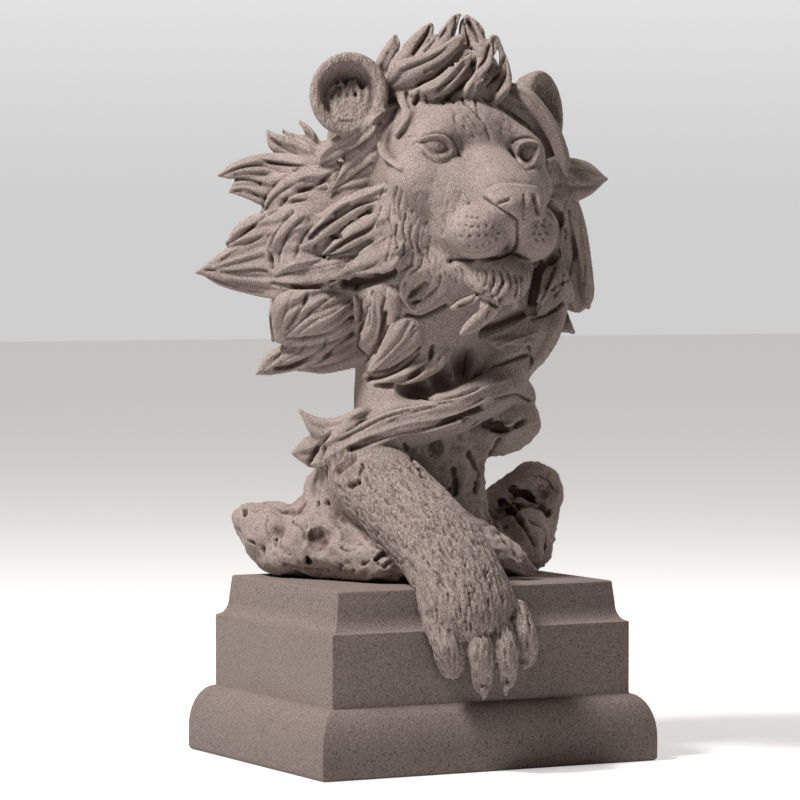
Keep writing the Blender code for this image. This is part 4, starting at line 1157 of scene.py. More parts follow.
class Tree:
    """A geometry node tree under construction."""

    def __init__(self, name: str) -> None:
        """Starts a tree that takes a geometry and gives one back."""
        self.group = bpy.data.node_groups.new(name, "GeometryNodeTree")
        self.group.interface.new_socket("Geometry", in_out="INPUT", socket_type="NodeSocketGeometry")
        self.group.interface.new_socket("Geometry", in_out="OUTPUT", socket_type="NodeSocketGeometry")
        self.given = self.group.nodes.new("NodeGroupInput")
        self.result = self.group.nodes.new("NodeGroupOutput")
        self.sockets: dict[str, str] = {}

    def size(self, name: str, kind: str = "NodeSocketFloat") -> None:
        """Adds a named input."""
        socket = self.group.interface.new_socket(name, in_out="INPUT", socket_type=kind)
        self.sockets[name] = socket.identifier

    def node(self, kind: str, values: dict | None = None, **settings: object) -> bpy.types.Node:
        """Adds a node, with its settings and the values of its input sockets.

        Args:
            kind: The node's type.
            values: A value for each named input.
            settings: A value for each of the node's own settings.

        Returns:
            The new node.
        """
        made = self.group.nodes.new(kind)
        for key, value in settings.items():
            setattr(made, key, value)
        for key, value in (values or {}).items():
            made.inputs[key].default_value = value
        return made

    def link(self, start: bpy.types.Node, out: str | int, end: bpy.types.Node, into: str | int) -> None:
        """Joins an output of one node to an input of another."""
        self.group.links.new(start.outputs[out], end.inputs[into])

    def sum(self, operation: str, first: tuple, second: tuple | float | None = None) -> bpy.types.Node:
        """Adds an arithmetic node.

        Args:
            operation: What it does with its two values.
            first: The node and the output that the first value comes from.
            second: The same for the second value, or a plain number.

        Returns:
            The new node.
        """
        made = self.node("ShaderNodeMath", operation=operation)
        self.link(*first, made, 0)
        if isinstance(second, tuple):
            self.link(*second, made, 1)
        elif second is not None:
            made.inputs[1].default_value = second
        return made

    def close(self, last: bpy.types.Node) -> None:
        """Ends the tree in Realize Instances and Set Material.

        Args:
            last: The node that gives the shape.
        """
        real = self.node("GeometryNodeRealizeInstances")
        paint = self.node("GeometryNodeSetMaterial")
        self.link(last, 0, real, 0)
        self.link(real, 0, paint, "Geometry")
        self.link(self.given, "Finish", paint, "Material")
        self.link(paint, 0, self.result, 0)

    def grow(self, name: str, base: bpy.types.Mesh, sizes: dict) -> bpy.types.Mesh:
        """Runs the tree on a mesh.

        Args:
            name: The name of what it makes.
            base: The mesh that the tree starts from.
            sizes: A value for each named input.

        Returns:
            The plain mesh.
        """
        obj = placed(name, base)
        modifier = obj.modifiers.new(name, "NODES")
        modifier.node_group = self.group
        for key, value in sizes.items():
            modifier[self.sockets[key]] = value
        made = settled(obj)
        made.name = name
        return made


def wisp_tree() -> Tree:
    """A tree that turns lines into tapering wisps of hair: their radius is the lines' own size.

    Returns:
        The tree.
    """
    tree = Tree("wisps")
    tree.size("Sides", "NodeSocketInt")
    tree.size("Step")
    tree.size("Finish", "NodeSocketMaterial")
    curve = tree.node("GeometryNodeMeshToCurve")
    thick = tree.node("GeometryNodeInputNamedAttribute", {"Name": "size"}, data_type="FLOAT")
    radius = tree.node("GeometryNodeSetCurveRadius")
    spaced = tree.node("GeometryNodeResampleCurve", mode="LENGTH")
    ring = tree.node("GeometryNodeCurvePrimitiveCircle", {"Radius": 1.0})
    tube = tree.node("GeometryNodeCurveToMesh", {"Fill Caps": True})
    tree.link(tree.given, "Geometry", curve, "Mesh")
    tree.link(curve, 0, radius, "Curve")
    tree.link(thick, 0, radius, "Radius")
    tree.link(radius, 0, spaced, "Curve")
    tree.link(tree.given, "Step", spaced, "Length")
    tree.link(tree.given, "Sides", ring, "Resolution")
    tree.link(spaced, 0, tube, "Curve")
    tree.link(ring, 0, tube, "Profile Curve")
    if "Scale" in tube.inputs:
        tree.link(thick, 0, tube, "Scale")
    tree.close(tube)
    return tree


def moulding_tree() -> Tree:
    """A tree that carries a profile round a block, mitred at its corners.

    Returns:
        The tree.
    """
    tree = Tree("moulding")
    for name in ("Width", "Depth"):
        tree.size(name)
    tree.size("Rows", "NodeSocketInt")
    tree.size("Finish", "NodeSocketMaterial")
    block = tree.node("GeometryNodeMeshCube", {"Size": (2.0, 2.0, 1.0), "Vertices X": 2, "Vertices Y": 2})
    tree.link(tree.given, "Rows", block, "Vertices Z")
    spot = tree.node("GeometryNodeInputPosition")
    split = tree.node("ShaderNodeSeparateXYZ")
    tree.link(spot, 0, split, 0)
    last = tree.sum("SUBTRACT", (tree.given, "Rows"), 1.0)
    raised = tree.sum("ADD", (split, 2), 0.5)
    row = tree.sum("MULTIPLY", (raised, 0), (last, 0))
    number = tree.sum("ROUND", (row, 0))
    station = tree.node("GeometryNodeSampleIndex", data_type="FLOAT_VECTOR", domain="POINT", clamp=True)
    tree.link(tree.given, "Geometry", station, "Geometry")
    tree.link(spot, 0, station, "Value")
    tree.link(number, 0, station, "Index")
    profile = tree.node("ShaderNodeSeparateXYZ")
    tree.link(station, 0, profile, 0)
    sides = []
    for axis, name in ((0, "Width"), (1, "Depth")):
        half = tree.sum("MULTIPLY", (tree.given, name), 0.5)
        out = tree.sum("ADD", (half, 0), (profile, 0))
        sides.append(tree.sum("MULTIPLY", (out, 0), (split, axis)))
    joined = tree.node("ShaderNodeCombineXYZ")
    tree.link(sides[0], 0, joined, 0)
    tree.link(sides[1], 0, joined, 1)
    tree.link(profile, 2, joined, 2)
    moved = tree.node("GeometryNodeSetPosition")
    tree.link(block, 0, moved, "Geometry")
    tree.link(joined, 0, moved, "Position")
    tree.close(moved)
    return tree


# Finishes


@dataclass(frozen=True)
class Sandstone:
    """Fine cast sandstone, speckled with darker and lighter grains.

    The colours are those of the flat, the painted highlight on the ridges, the painted shade in the crevices,
    the dark and the light grains.
    """

    name: str
    body: tuple[float, float, float] = (0.30, 0.242, 0.220)
    # Painted highlight: the lighter colour laid on the ridges
    ridge_highlight: tuple[float, float, float] = (0.42, 0.345, 0.313)
    # Painted shade laid in the crevices and between the fur's hairs
    deep: tuple[float, float, float] = (0.085, 0.052, 0.038)
    speck: tuple[float, float, float] = (0.09, 0.055, 0.04)
    spark: tuple[float, float, float] = (0.58, 0.50, 0.44)
    roughness: float = 0.86
    speckle: float = 0.55
    bump: float = 0.35
    furred: bool = False

    def material(self) -> bpy.types.Material:
        """The finish as a material that reads object coordinates and the hollow and fur attributes, by which
        it paints shade into the crevices and between the fur's hairs and a highlight onto the ridges.

        Returns:
            The new material.
        """
        made = bpy.data.materials.new(self.name)
        made.use_nodes = True
        nodes, links = made.node_tree.nodes, made.node_tree.links
        shader = nodes["Principled BSDF"]
        shader.inputs["Roughness"].default_value = self.roughness
        shader.inputs["Specular IOR Level"].default_value = 0.25
        place = nodes.new("ShaderNodeTexCoord")

        def noise(scale: float, detail: float = 2.0, rough_share: float = 0.5,
                  where: bpy.types.NodeSocket = place.outputs["Object"]) -> bpy.types.NodeSocket:
            """A noise in object space, with features of a scale per metre."""
            grains = nodes.new("ShaderNodeTexNoise")
            grains.inputs["Scale"].default_value = scale
            grains.inputs["Detail"].default_value = detail
            grains.inputs["Roughness"].default_value = rough_share
            links.new(where, grains.inputs["Vector"])
            return grains.outputs["Fac"]

        def spread(value: bpy.types.NodeSocket, low: float, high: float) -> bpy.types.NodeSocket:
            """The value stretched so that low becomes 0 and high 1."""
            ramp = nodes.new("ShaderNodeMapRange")
            ramp.inputs["From Min"].default_value = low
            ramp.inputs["From Max"].default_value = high
            links.new(value, ramp.inputs["Value"])
            return ramp.outputs["Result"]

        def mix(share: bpy.types.NodeSocket, first: object, second: object) -> bpy.types.NodeSocket:
            """A blend of two colours by a share from 0 to 1."""
            blend = nodes.new("ShaderNodeMix")
            blend.data_type = "RGBA"
            links.new(share, blend.inputs["Factor"])
            ends = [s for s in blend.inputs if s.type == "RGBA"]
            for socket, colour in zip(ends, (first, second)):
                if isinstance(colour, tuple):
                    socket.default_value = (*colour, 1.0)
                else:
                    links.new(colour, socket)
            return next(s for s in blend.outputs if s.type == "RGBA")

        def scaled(value: bpy.types.NodeSocket, factor: object) -> bpy.types.NodeSocket:
            """The value times a number or another value."""
            times = nodes.new("ShaderNodeMath")
            times.operation = "MULTIPLY"
            links.new(value, times.inputs[0])
            if isinstance(factor, float):
                times.inputs[1].default_value = factor
            else:
                links.new(factor, times.inputs[1])
            return times.outputs[0]

        def raised_by(height: bpy.types.NodeSocket, strength: float, distance: float) -> bpy.types.Node:
            """A bump by a height, joined to the shader."""
            bump = nodes.new("ShaderNodeBump")
            bump.inputs["Strength"].default_value = strength
            bump.inputs["Distance"].default_value = distance
            links.new(height, bump.inputs["Height"])
            links.new(bump.outputs["Normal"], shader.inputs["Normal"])
            return bump

        hollow = nodes.new("ShaderNodeAttribute")
        hollow.attribute_name = "hollow"
        patches = mix(spread(noise(45.0, 4.0), 0.35, 0.65), tuple(c * 0.93 for c in self.body), self.body)
        # Painted highlight: the ridges are lightened towards the ridge colour by the hollow value
        raised = mix(scaled(spread(hollow.outputs["Fac"], 0.5, 0.85), 0.6), patches, self.ridge_highlight)
        dark = mix(scaled(spread(noise(1500.0, 0.0), 0.62, 0.69), self.speckle), raised, self.speck)
        light = mix(scaled(spread(noise(1900.0, 0.0), 0.40, 0.33), self.speckle), dark, self.spark)
        # Painted shade: the crevices are darkened by the hollow value
        sunk = mix(spread(hollow.outputs["Fac"], 0.48, 0.12), light, self.deep)
        links.new(sunk, shader.inputs["Base Color"])
        grainy = raised_by(noise(1500.0, 3.0, 0.6), self.bump, 0.0003)
        if self.furred:
            fur = nodes.new("ShaderNodeAttribute")
            fur.attribute_name = "fur"
            upright = nodes.new("ShaderNodeMapping")
            upright.inputs["Scale"].default_value = (1.0, 1.0, 0.26)
            links.new(place.outputs["Object"], upright.inputs["Vector"])
            hairs = noise(780.0, 1.0, where=upright.outputs["Vector"])
            # Painted shade in the grooves between the fur's hairs; the same pattern is also bumped in
            between = scaled(spread(hairs, 0.56, 0.40), fur.outputs["Fac"])
            links.new(mix(scaled(between, 0.45), sunk, self.deep), shader.inputs["Base Color"])
            lie = raised_by(between, 0.6, 0.0007)
            lie.invert = True
            links.new(grainy.outputs["Normal"], lie.inputs["Normal"])
        return made


def mark_hollows(mesh: bpy.types.Mesh) -> None:
    """Gives each point a value of how sunk it is: 0 in a crevice, 0.5 on the flat, 1 on a ridge; the finish
    paints shade into the crevices and a highlight onto the ridges by this value.

    Args:
        mesh: The mesh that gets the values.
    """
    spots, normals = read_spots(mesh), read_normals(mesh)
    pairs = np.empty(len(mesh.edges) * 2, dtype=np.int32)
    mesh.edges.foreach_get("vertices", pairs)
    first, second = pairs.reshape(-1, 2).T
    degree = np.bincount(first, minlength=len(spots)) + np.bincount(second, minlength=len(spots))

    def averaged(values: Spots) -> Spots:
        """Each point's value evened with its neighbours'."""
        total = np.zeros_like(values)
        for k in range(values.shape[1]):
            total[:, k] = np.bincount(first, values[second, k], len(spots))
            total[:, k] += np.bincount(second, values[first, k], len(spots))
        return 0.5 * values + 0.5 * total / degree[:, None]

    sunk = np.zeros(len(spots))
    calm, rounds = spots.copy(), 0
    for reach, depth in ((4, 0.0003), (16, 0.0009), (48, 0.0018)):
        while rounds < reach:
            calm = averaged(calm)
            rounds += 1
        sunk += np.clip(((calm - spots) * normals).sum(axis=1) / depth, -1, 1) / 3
    value = averaged((0.5 - 0.5 * sunk)[:, None])[:, 0]
    attribute = mesh.attributes.new("hollow", "FLOAT", "POINT")
    attribute.data.foreach_set("value", value.astype(np.float32))


# Lines drawn in the mane and on the face: points across and up, half width, and height in millimetres
MANE_LINES = (
    (((-17.2, 284.3), (-21.7, 277.1), (-30.7, 271.1), (-38.8, 267.2), (-46, 264.5)), 1.6, -1.6),
    (((-18.1, 290.1), (-27.1, 281.1), (-37.9, 273.9), (-45.1, 267.7)), 0.9, -0.6),
    (((-55, 263.6), (-63.1, 258.7), (-69.3, 251.5), (-71, 244.3)), 0.9, -0.9),
    (((-50.5, 259.6), (-59.5, 255.1), (-65.7, 250.6), (-69.3, 245.2)), 0.8, -0.6),
    (((-37.9, 263.6), (-46.9, 256), (-57.7, 252.4), (-64, 246.1), (-68.4, 243.4)), 1.5, -1.5),
    (((-32.5, 272.1), (-36.1, 265), (-38.8, 258.7), (-41.9, 253.3)), 1.5, -1.5),
    (((-21.7, 265.9), (-28.9, 260.5), (-36.1, 256), (-41.5, 252.8)), 1.4, -1.3),
    (((-27.1, 268.6), (-31.6, 264.1), (-36.1, 258.7)), 0.8, -0.5),
    (((-57.7, 244.3), (-64, 238), (-67.5, 229.9), (-66.6, 219.2)), 1.8, -1.8),
    (((-52.3, 241.6), (-58.6, 235.3), (-63.1, 226.3), (-64, 220.9)), 1.2, -1),
    (((-45.1, 241.6), (-52.3, 233.5), (-56.8, 223.6)), 1.2, -1),
    (((-17.2, 255.1), (-27.1, 250.6), (-36.1, 247), (-43.3, 240.7), (-49.6, 234.4)), 0.9, 0.9),
    (((-19.9, 249.7), (-28.9, 247), (-36.1, 242.5), (-45.1, 237.1), (-49.6, 232.6)), 1.3, -1.2),
    (((-32.5, 247), (-37.9, 243.4)), 2, -2),
    (((-36.1, 233.5), (-42.4, 231.7), (-46.9, 228.1)), 2, -1.8),
    (((-18.1, 246.1), (-22.6, 237.1), (-30.7, 232.6), (-37.9, 228.1), (-43.3, 224.1)), 1.5, -1.5),
    (((-23.5, 244.3), (-30.7, 238.9), (-37, 232.6)), 0.8, -0.5),
    (((-10.1, 228.1), (-18.1, 222.7), (-25.3, 218.3), (-32.5, 216.5)), 1, -0.6),
    (((-16.3, 232.6), (-23.5, 228.1), (-30.7, 222.7), (-33.9, 218.3)), 0.9, 0.8),
    (((-28.9, 226.3), (-37.9, 224.5), (-46.9, 222.7), (-57.7, 220.5), (-65.7, 215.6)), 1, 1),
    (((-30.7, 222.7), (-41.5, 220), (-50.5, 218.3), (-61.3, 216.5)), 0.9, -0.7),
    (((-12.8, 217.4), (-21.7, 213.8), (-30.7, 212), (-39.7, 211.5)), 3.4, -5.0),
    (((-39.7, 211.5), (-50.5, 210.6), (-61.3, 211.1), (-66.6, 212)), 1.8, -1.8),
    (((-96.3, 218.3), (-85.5, 217.2), (-73.8, 218.1), (-69.3, 217.4)), 1.3, -1.1),
    (((-99, 216.5), (-90, 212.9), (-79.2, 209.3), (-70.2, 207.9)), 0.9, -0.6),
    (((-86.4, 229.9), (-81, 233.5), (-74.7, 238), (-70.2, 242.5)), 1.2, -1.2),
    (((-89.1, 222.7), (-81, 228.1), (-73.8, 231.7), (-69.3, 235.3)), 0.9, -0.6),
    (((-50.5, 207.5), (-54.1, 200.3), (-60.4, 191.3)), 1.5, -1.4),
    (((-57.7, 208.4), (-60.4, 200.3), (-63.1, 192.2)), 0.9, -0.6),
    (((-39.7, 206.6), (-46.9, 201.2), (-54.1, 194.9), (-61.3, 188.6)), 1.2, -1.1),
    (((-31.6, 204.8), (-38.8, 199.4), (-46.9, 195.8), (-57.7, 187.7)), 0.9, -0.7),
    (((-30.7, 196.7), (-39.7, 190.4), (-49.6, 187.7), (-60.4, 186.8)), 1.6, -1.5),
    (((-41.5, 186.8), (-48.7, 179.6), (-57.7, 175.1), (-64.9, 173.8)), 1.5, -1.4),
    (((-57.7, 185.9), (-64, 179.6), (-70.2, 173.3)), 0.9, -0.6),
    (((-48.7, 186.8), (-55.9, 180.5), (-63.1, 176)), 0.9, -0.7),
    (((-30.7, 189.5), (-37, 184.1), (-43.3, 178.7), (-50.5, 174.2)), 1.3, -1.2),
    (((-26.7, 204.8), (-26.7, 199.4), (-27.1, 194.9)), 1.1, -1.6),
    (((-21.7, 208.4), (-22.6, 203.9), (-24.4, 199.4), (-27.1, 191.3), (-28.9, 185.9)), 1.2, -1.4),
    (((-16.3, 205.7), (-17.2, 200.3), (-16.3, 195.8)), 1.1, -1.3),
    (((-14.6, 192.2), (-18.1, 185.9), (-22.6, 180.5), (-24.4, 177.8)), 1.8, -1.8),
    (((-27.1, 188.6), (-28.5, 184.1), (-23.5, 178.7)), 1.2, -1.2),
    (((-1.1, 193.1), (-7.4, 186.8), (-16.3, 177.8), (-24.4, 170.2)), 0.9, 0.9),
    (((-0.6, 180.5), (-8.3, 174.2), (-17.2, 170.6), (-23.5, 169.3)), 1.5, -1.6),
    (((-0.6, 185.9), (-8.3, 180.5), (-16.3, 174.2)), 0.9, -0.6),
    (((-0.6, 174.2), (-8.3, 168.9), (-18.1, 166.2)), 1, -0.8),
    (((-67.5, 277.5), (-61.3, 273), (-54.1, 269.5)), 1.1, -1),
    (((-64.9, 280.2), (-57.7, 276.6), (-50.5, 273), (-46, 267.7)), 0.9, -0.7),
    (((-54.1, 282.9), (-50.5, 278.4), (-45.1, 274.8)), 1, -0.9),
    (((-61.3, 280.2), (-60.4, 275.7)), 0.8, -0.7),
    (((-57.7, 279.8), (-55, 274.8)), 0.8, -0.7),
    (((-51.4, 282), (-48.7, 277.5)), 0.8, -0.7),
    (((-89.1, 260.5), (-81, 264.1), (-72, 265), (-63.1, 263.2)), 0.9, -0.7),
    (((-85.5, 258.7), (-78.3, 258.7), (-72, 256.9)), 1.4, -1.3),
    (((-84.6, 253.3), (-78.3, 254.2), (-72.9, 251.5)), 0.9, -0.7),
    (((-81, 251.5), (-76.5, 247.9), (-74.7, 244.3)), 0.9, -0.6),
    (((-72, 267.7), (-64.9, 265.9), (-57.7, 265), (-50.5, 265)), 1.1, -1),
)
NECK_LINES = (
    (((-6.2, 198), (-0.2, 196.9), (5.8, 199.2), (11.8, 202.2)), 1.6, -2.2),
    (((-0.2, 183.1), (-6.2, 177.8), (-13.7, 173.3), (-23.4, 171.5)), 1.4, -1.6),
    (((5.8, 183.8), (2.8, 176.3), (-3.9, 170.3), (-11.4, 166.6), (-21.1, 166.2)), 1.7, -2.2),
    (((8.8, 179.3), (7.3, 171.8)), 0.8, -0.6),
    (((14.8, 180.8), (13.3, 170.3)), 0.8, -0.6),
    (((20.8, 181.6), (19.3, 170.3)), 0.8, -0.6),
    (((-4.7, 162.1), (5.8, 160.2), (16.3, 161.7), (26, 165.5)), 1.6, -2),
    (((-36.1, 144.2), (-24.9, 150.5), (-12.2, 155.8), (-0.2, 158), (11.8, 158.7)), 1, -1),
    (((-36.1, 141.9), (-27.1, 146.4), (-16.6, 151.6), (-4.7, 155.4)), 0.8, -0.7),
    (((-31.6, 137.8), (-17.4, 142.3), (-2.4, 145.3), (12.5, 150.5), (27.5, 156.5)), 2, -2.6),
    (((53.7, 220.5), (50.7, 210.8), (48.5, 201.8), (39.5, 195.8), (28.3, 190.2)), 3.4, -4.5),
    (((32.8, 175.6), (39.5, 177.8), (47.7, 180.1)), 1.8, -2.6),
    (((48.5, 183.8), (50, 177.8), (48.5, 173.3)), 1.2, -1.4),
    (((34.3, 183.8), (43.2, 186.8), (52.2, 189.8)), 0.9, 0.8),
    (((31.3, 150.9), (35.7, 147.9)), 2, -2.4),
    (((20.8, 150.1), (28.3, 149.8)), 2.6, -4.2),
    (((16.3, 159.9), (5.8, 156.9), (-4.7, 153.9), (-13.7, 150.1)), 0.8, -0.6),
    (((28.3, 160.6), (20.8, 156.1), (11.8, 153.1), (-0.2, 150.9)), 0.8, -0.6),
    (((60.4, 219.8), (57.5, 212.3), (53.7, 203.3), (50.7, 195.8)), 1, -1.3),
    (((64.2, 216.8), (63.4, 210.8), (60.4, 206.3)), 1, -1.2),
    (((50, 196.5), (57.5, 198.8), (64.2, 203.3)), 1.3, -1.8),
    (((-28.6, 207), (-26.4, 200.3), (-25.6, 194.3)), 1.1, -1.4),
    (((-22.6, 207.8), (-22.6, 200.3), (-23.4, 192.8)), 1.1, -1.2),
    (((-15.9, 198.8), (-17.4, 189.8), (-20.4, 180.8)), 1.6, -2),
    (((25.3, 207), (19.3, 205.9), (15.5, 204)), 0.8, -0.7),
    (((31.3, 203.3), (34.3, 201.8), (38, 204)), 0.9, -1.2),
)
CREST_LINES = (
    (((2.1, 306.6), (10.3, 311.1), (17, 317.1), (19.3, 320.8)), 1, -1),
    (((-0.9, 300.6), (9.6, 306.6), (17.8, 313.3), (22.3, 316.3)), 1.6, -2.2),
    (((-9.2, 307.3), (-0.2, 310.3), (7.3, 314.1), (14, 320)), 0.8, -0.6),
    (((-3.2, 314.8), (2.1, 322.3), (4.3, 327.2)), 1.1, -1.1),
    (((-9.2, 317.1), (-10.7, 320.8), (-11.4, 323)), 1, -0.9),
    (((6.9, 326.8), (7.3, 323), (2.1, 316.3)), 1.5, -1.9),
    (((14.8, 323.8), (16.3, 328.3), (15.9, 332)), 1.3, -2),
    (((7.3, 320), (11, 325.3), (12.5, 329)), 0.8, -0.6),
    (((21.5, 329.8), (23.8, 325.3), (26, 320.8)), 1.4, -2.2),
    (((19.7, 328.3), (21.5, 322.3), (22.3, 317.8), (25.3, 317.1)), 1.2, -1.7),
    (((25.3, 329.8), (27.5, 325.3), (29, 322.3)), 0.9, -0.9),
    (((29, 324.5), (29.8, 322.3)), 1.4, -2),
    (((7.3, 298.7), (14.8, 304), (20, 310.3)), 0.9, -0.9),
    (((11.8, 295.3), (18.5, 301.3), (22.6, 306.6), (23.8, 311.8)), 2, -3),
    (((24.5, 307.3), (29, 312.6), (30.9, 318.6)), 1, -1.2),
    (((26.8, 303.6), (31.6, 309.2), (33.4, 315.6), (32.9, 320.8)), 1.2, -1.6),
    (((29.8, 300.2), (34.6, 305.8), (36.9, 311.8)), 1.1, -1.4),
    (((34.3, 298.3), (38, 305.8), (37.6, 313.3)), 1, -1.2),
    (((25.3, 299.8), (29.8, 304.3)), 0.9, -0.8),
    (((-6.5, 297.6), (-5.8, 294.6), (-4.3, 290.9)), 1.3, -1.6),
    (((-0.9, 297.6), (-1.7, 294.6), (-2.4, 292.7)), 1.4, -1.8),
    (((2.1, 296.1), (2.8, 293.1)), 1, -1.2),
    (((9.6, 294.6), (10.3, 292.7)), 0.9, -1),
    (((13.3, 295.3), (14.8, 293.1)), 0.9, -1),
    (((18.5, 295.3), (20, 292.4)), 1, -1.3),
    (((24.5, 294.6), (25.3, 291.6)), 1, -1.3),
    (((28.3, 295.3), (29.8, 293.9)), 0.9, -1),
    (((21.5, 291.6), (26.8, 285.6)), 0.8, -0.8),
)
ROCK_LINES = (
    (((-73, 110.3), (-67.8, 112.6), (-61.1, 110.8), (-57, 110.3), (-52.9, 113.4)), 2.2, -1.4),
    (((-69.4, 110.1), (-65.3, 109.5), (-61.1, 107.5)), 1, 0.8),
    (((-78.9, 111.3), (-78.9, 108)), 1.2, -1.8),
    (((-65, 97.2), (-65.3, 94.1)), 1.1, -2.4),
    (((-62.6, 97.2), (-62.9, 94.1)), 1.1, -2.4),
    (((-64.2, 100.5), (-63.2, 99.5)), 4.2, -1.4),
    (((-46.2, 96.9), (-45.1, 94.8)), 7.5, -2.6),
    (((-48.8, 94.8), (-46.2, 91.2)), 2.5, -1),
    (((-50.6, 88.7), (-50.4, 87.1)), 1.5, -2.2),
    (((-45.7, 114.2), (-45.6, 112.6)), 1.5, -2.4),
    (((-41.8, 114.2), (-41.5, 113.4)), 1, -1.6),
    (((-81.2, 101.5), (-79.7, 97.4)), 1.6, -1.6),
    (((-77.1, 96.4), (-75, 95.4)), 1.4, -1.6),
    (((-70.9, 92.8), (-70.7, 89.2)), 1.6, -1.8),
    (((-20.4, 88.1), (-16.8, 90.7)), 1.4, -2.4),
    (((-15.8, 85), (-14.2, 86.1)), 1.7, -2.2),
    (((-36.4, 85), (-36.9, 83)), 1.5, -1.6),
    (((-26.1, 85.6), (-23.5, 87.6)), 1.4, -1.3),
    (((-28.6, 109.3), (-28.4, 107.5)), 1.3, -2),
    (((-37.9, 127.3), (-33.8, 130.9), (-30.7, 133.5)), 3.2, -2.6),
    (((-45.1, 134), (-43.3, 137.6)), 2.2, -2.2),
    (((-32.8, 120.9), (-28.1, 122.7)), 2.4, -2.4),
    (((-24.5, 124.2), (-22.5, 120.1)), 1.6, -1.4),
    (((-27.9, 126.3), (-26.1, 130.9)), 1.6, -1.8),
    (((-36.9, 121.1), (-34.8, 118.3)), 1.1, -1.6),
    (((-42.3, 129.9), (-42.1, 124.7)), 1.1, -1.6),
    (((-41, 144.9), (-45.1, 139.7), (-48.8, 134.5), (-50.3, 130.4)), 1.6, -2.4),
    (((-31.2, 137.6), (-23, 141.8), (-15.2, 143.3)), 1.8, -2.2),
    (((-54.9, 117.5), (-51.8, 120.6), (-51.1, 123.7)), 1.2, 0.8),
    (((-68.3, 106.2), (-69.4, 102.1), (-67.3, 98.5)), 1, -1),
    (((-58, 105.2), (-53.9, 102.1), (-52.9, 97.4)), 1, -0.9),
    (((-42.1, 104.1), (-36.9, 102.1), (-35.9, 97.4)), 1.2, 0.8),
    (((-61.1, 85), (-53.9, 83.8), (-44.6, 83)), 1.2, -1.2),
    (((-35.9, 93.8), (-32.3, 92.3), (-29.2, 92.8)), 1, -1.2),
    (((22.3, 135.2), (26.8, 128.4), (25.9, 119.5)), 2, -2.4),
    (((15.5, 128.4), (16, 122), (15, 117)), 1.4, -1.6),
    (((-6.9, 139.7), (-0.2, 128.4), (8.8, 119.5)), 1.6, -2.2),
    (((44.7, 123.9), (56, 124.8), (60.9, 119.5)), 1, 0.8),
    (((42.5, 118.6), (51.5, 115), (57.3, 109.6)), 2.8, -3.6),
    (((35.7, 115), (44.7, 106), (51.5, 94.8)), 1.5, -1.8),
    (((31.3, 108.2), (38, 97), (44.7, 88)), 1.2, -1.5),
    (((49.2, 106), (56, 101.5), (57.3, 93.4)), 1.2, -1.4),
    (((26.8, 115), (33.5, 101.5), (40.2, 89.8), (49.2, 82.6)), 1, 0.9),
    (((33.5, 159.9), (42.5, 162.1), (49.2, 159.9)), 1.2, -1.6),
    (((29, 148.6), (38, 146.4), (47, 150.9)), 1.8, -2.2),
    (((35.7, 141.9), (31.3, 135.2), (28.6, 128.4)), 1.3, -1.6),
)
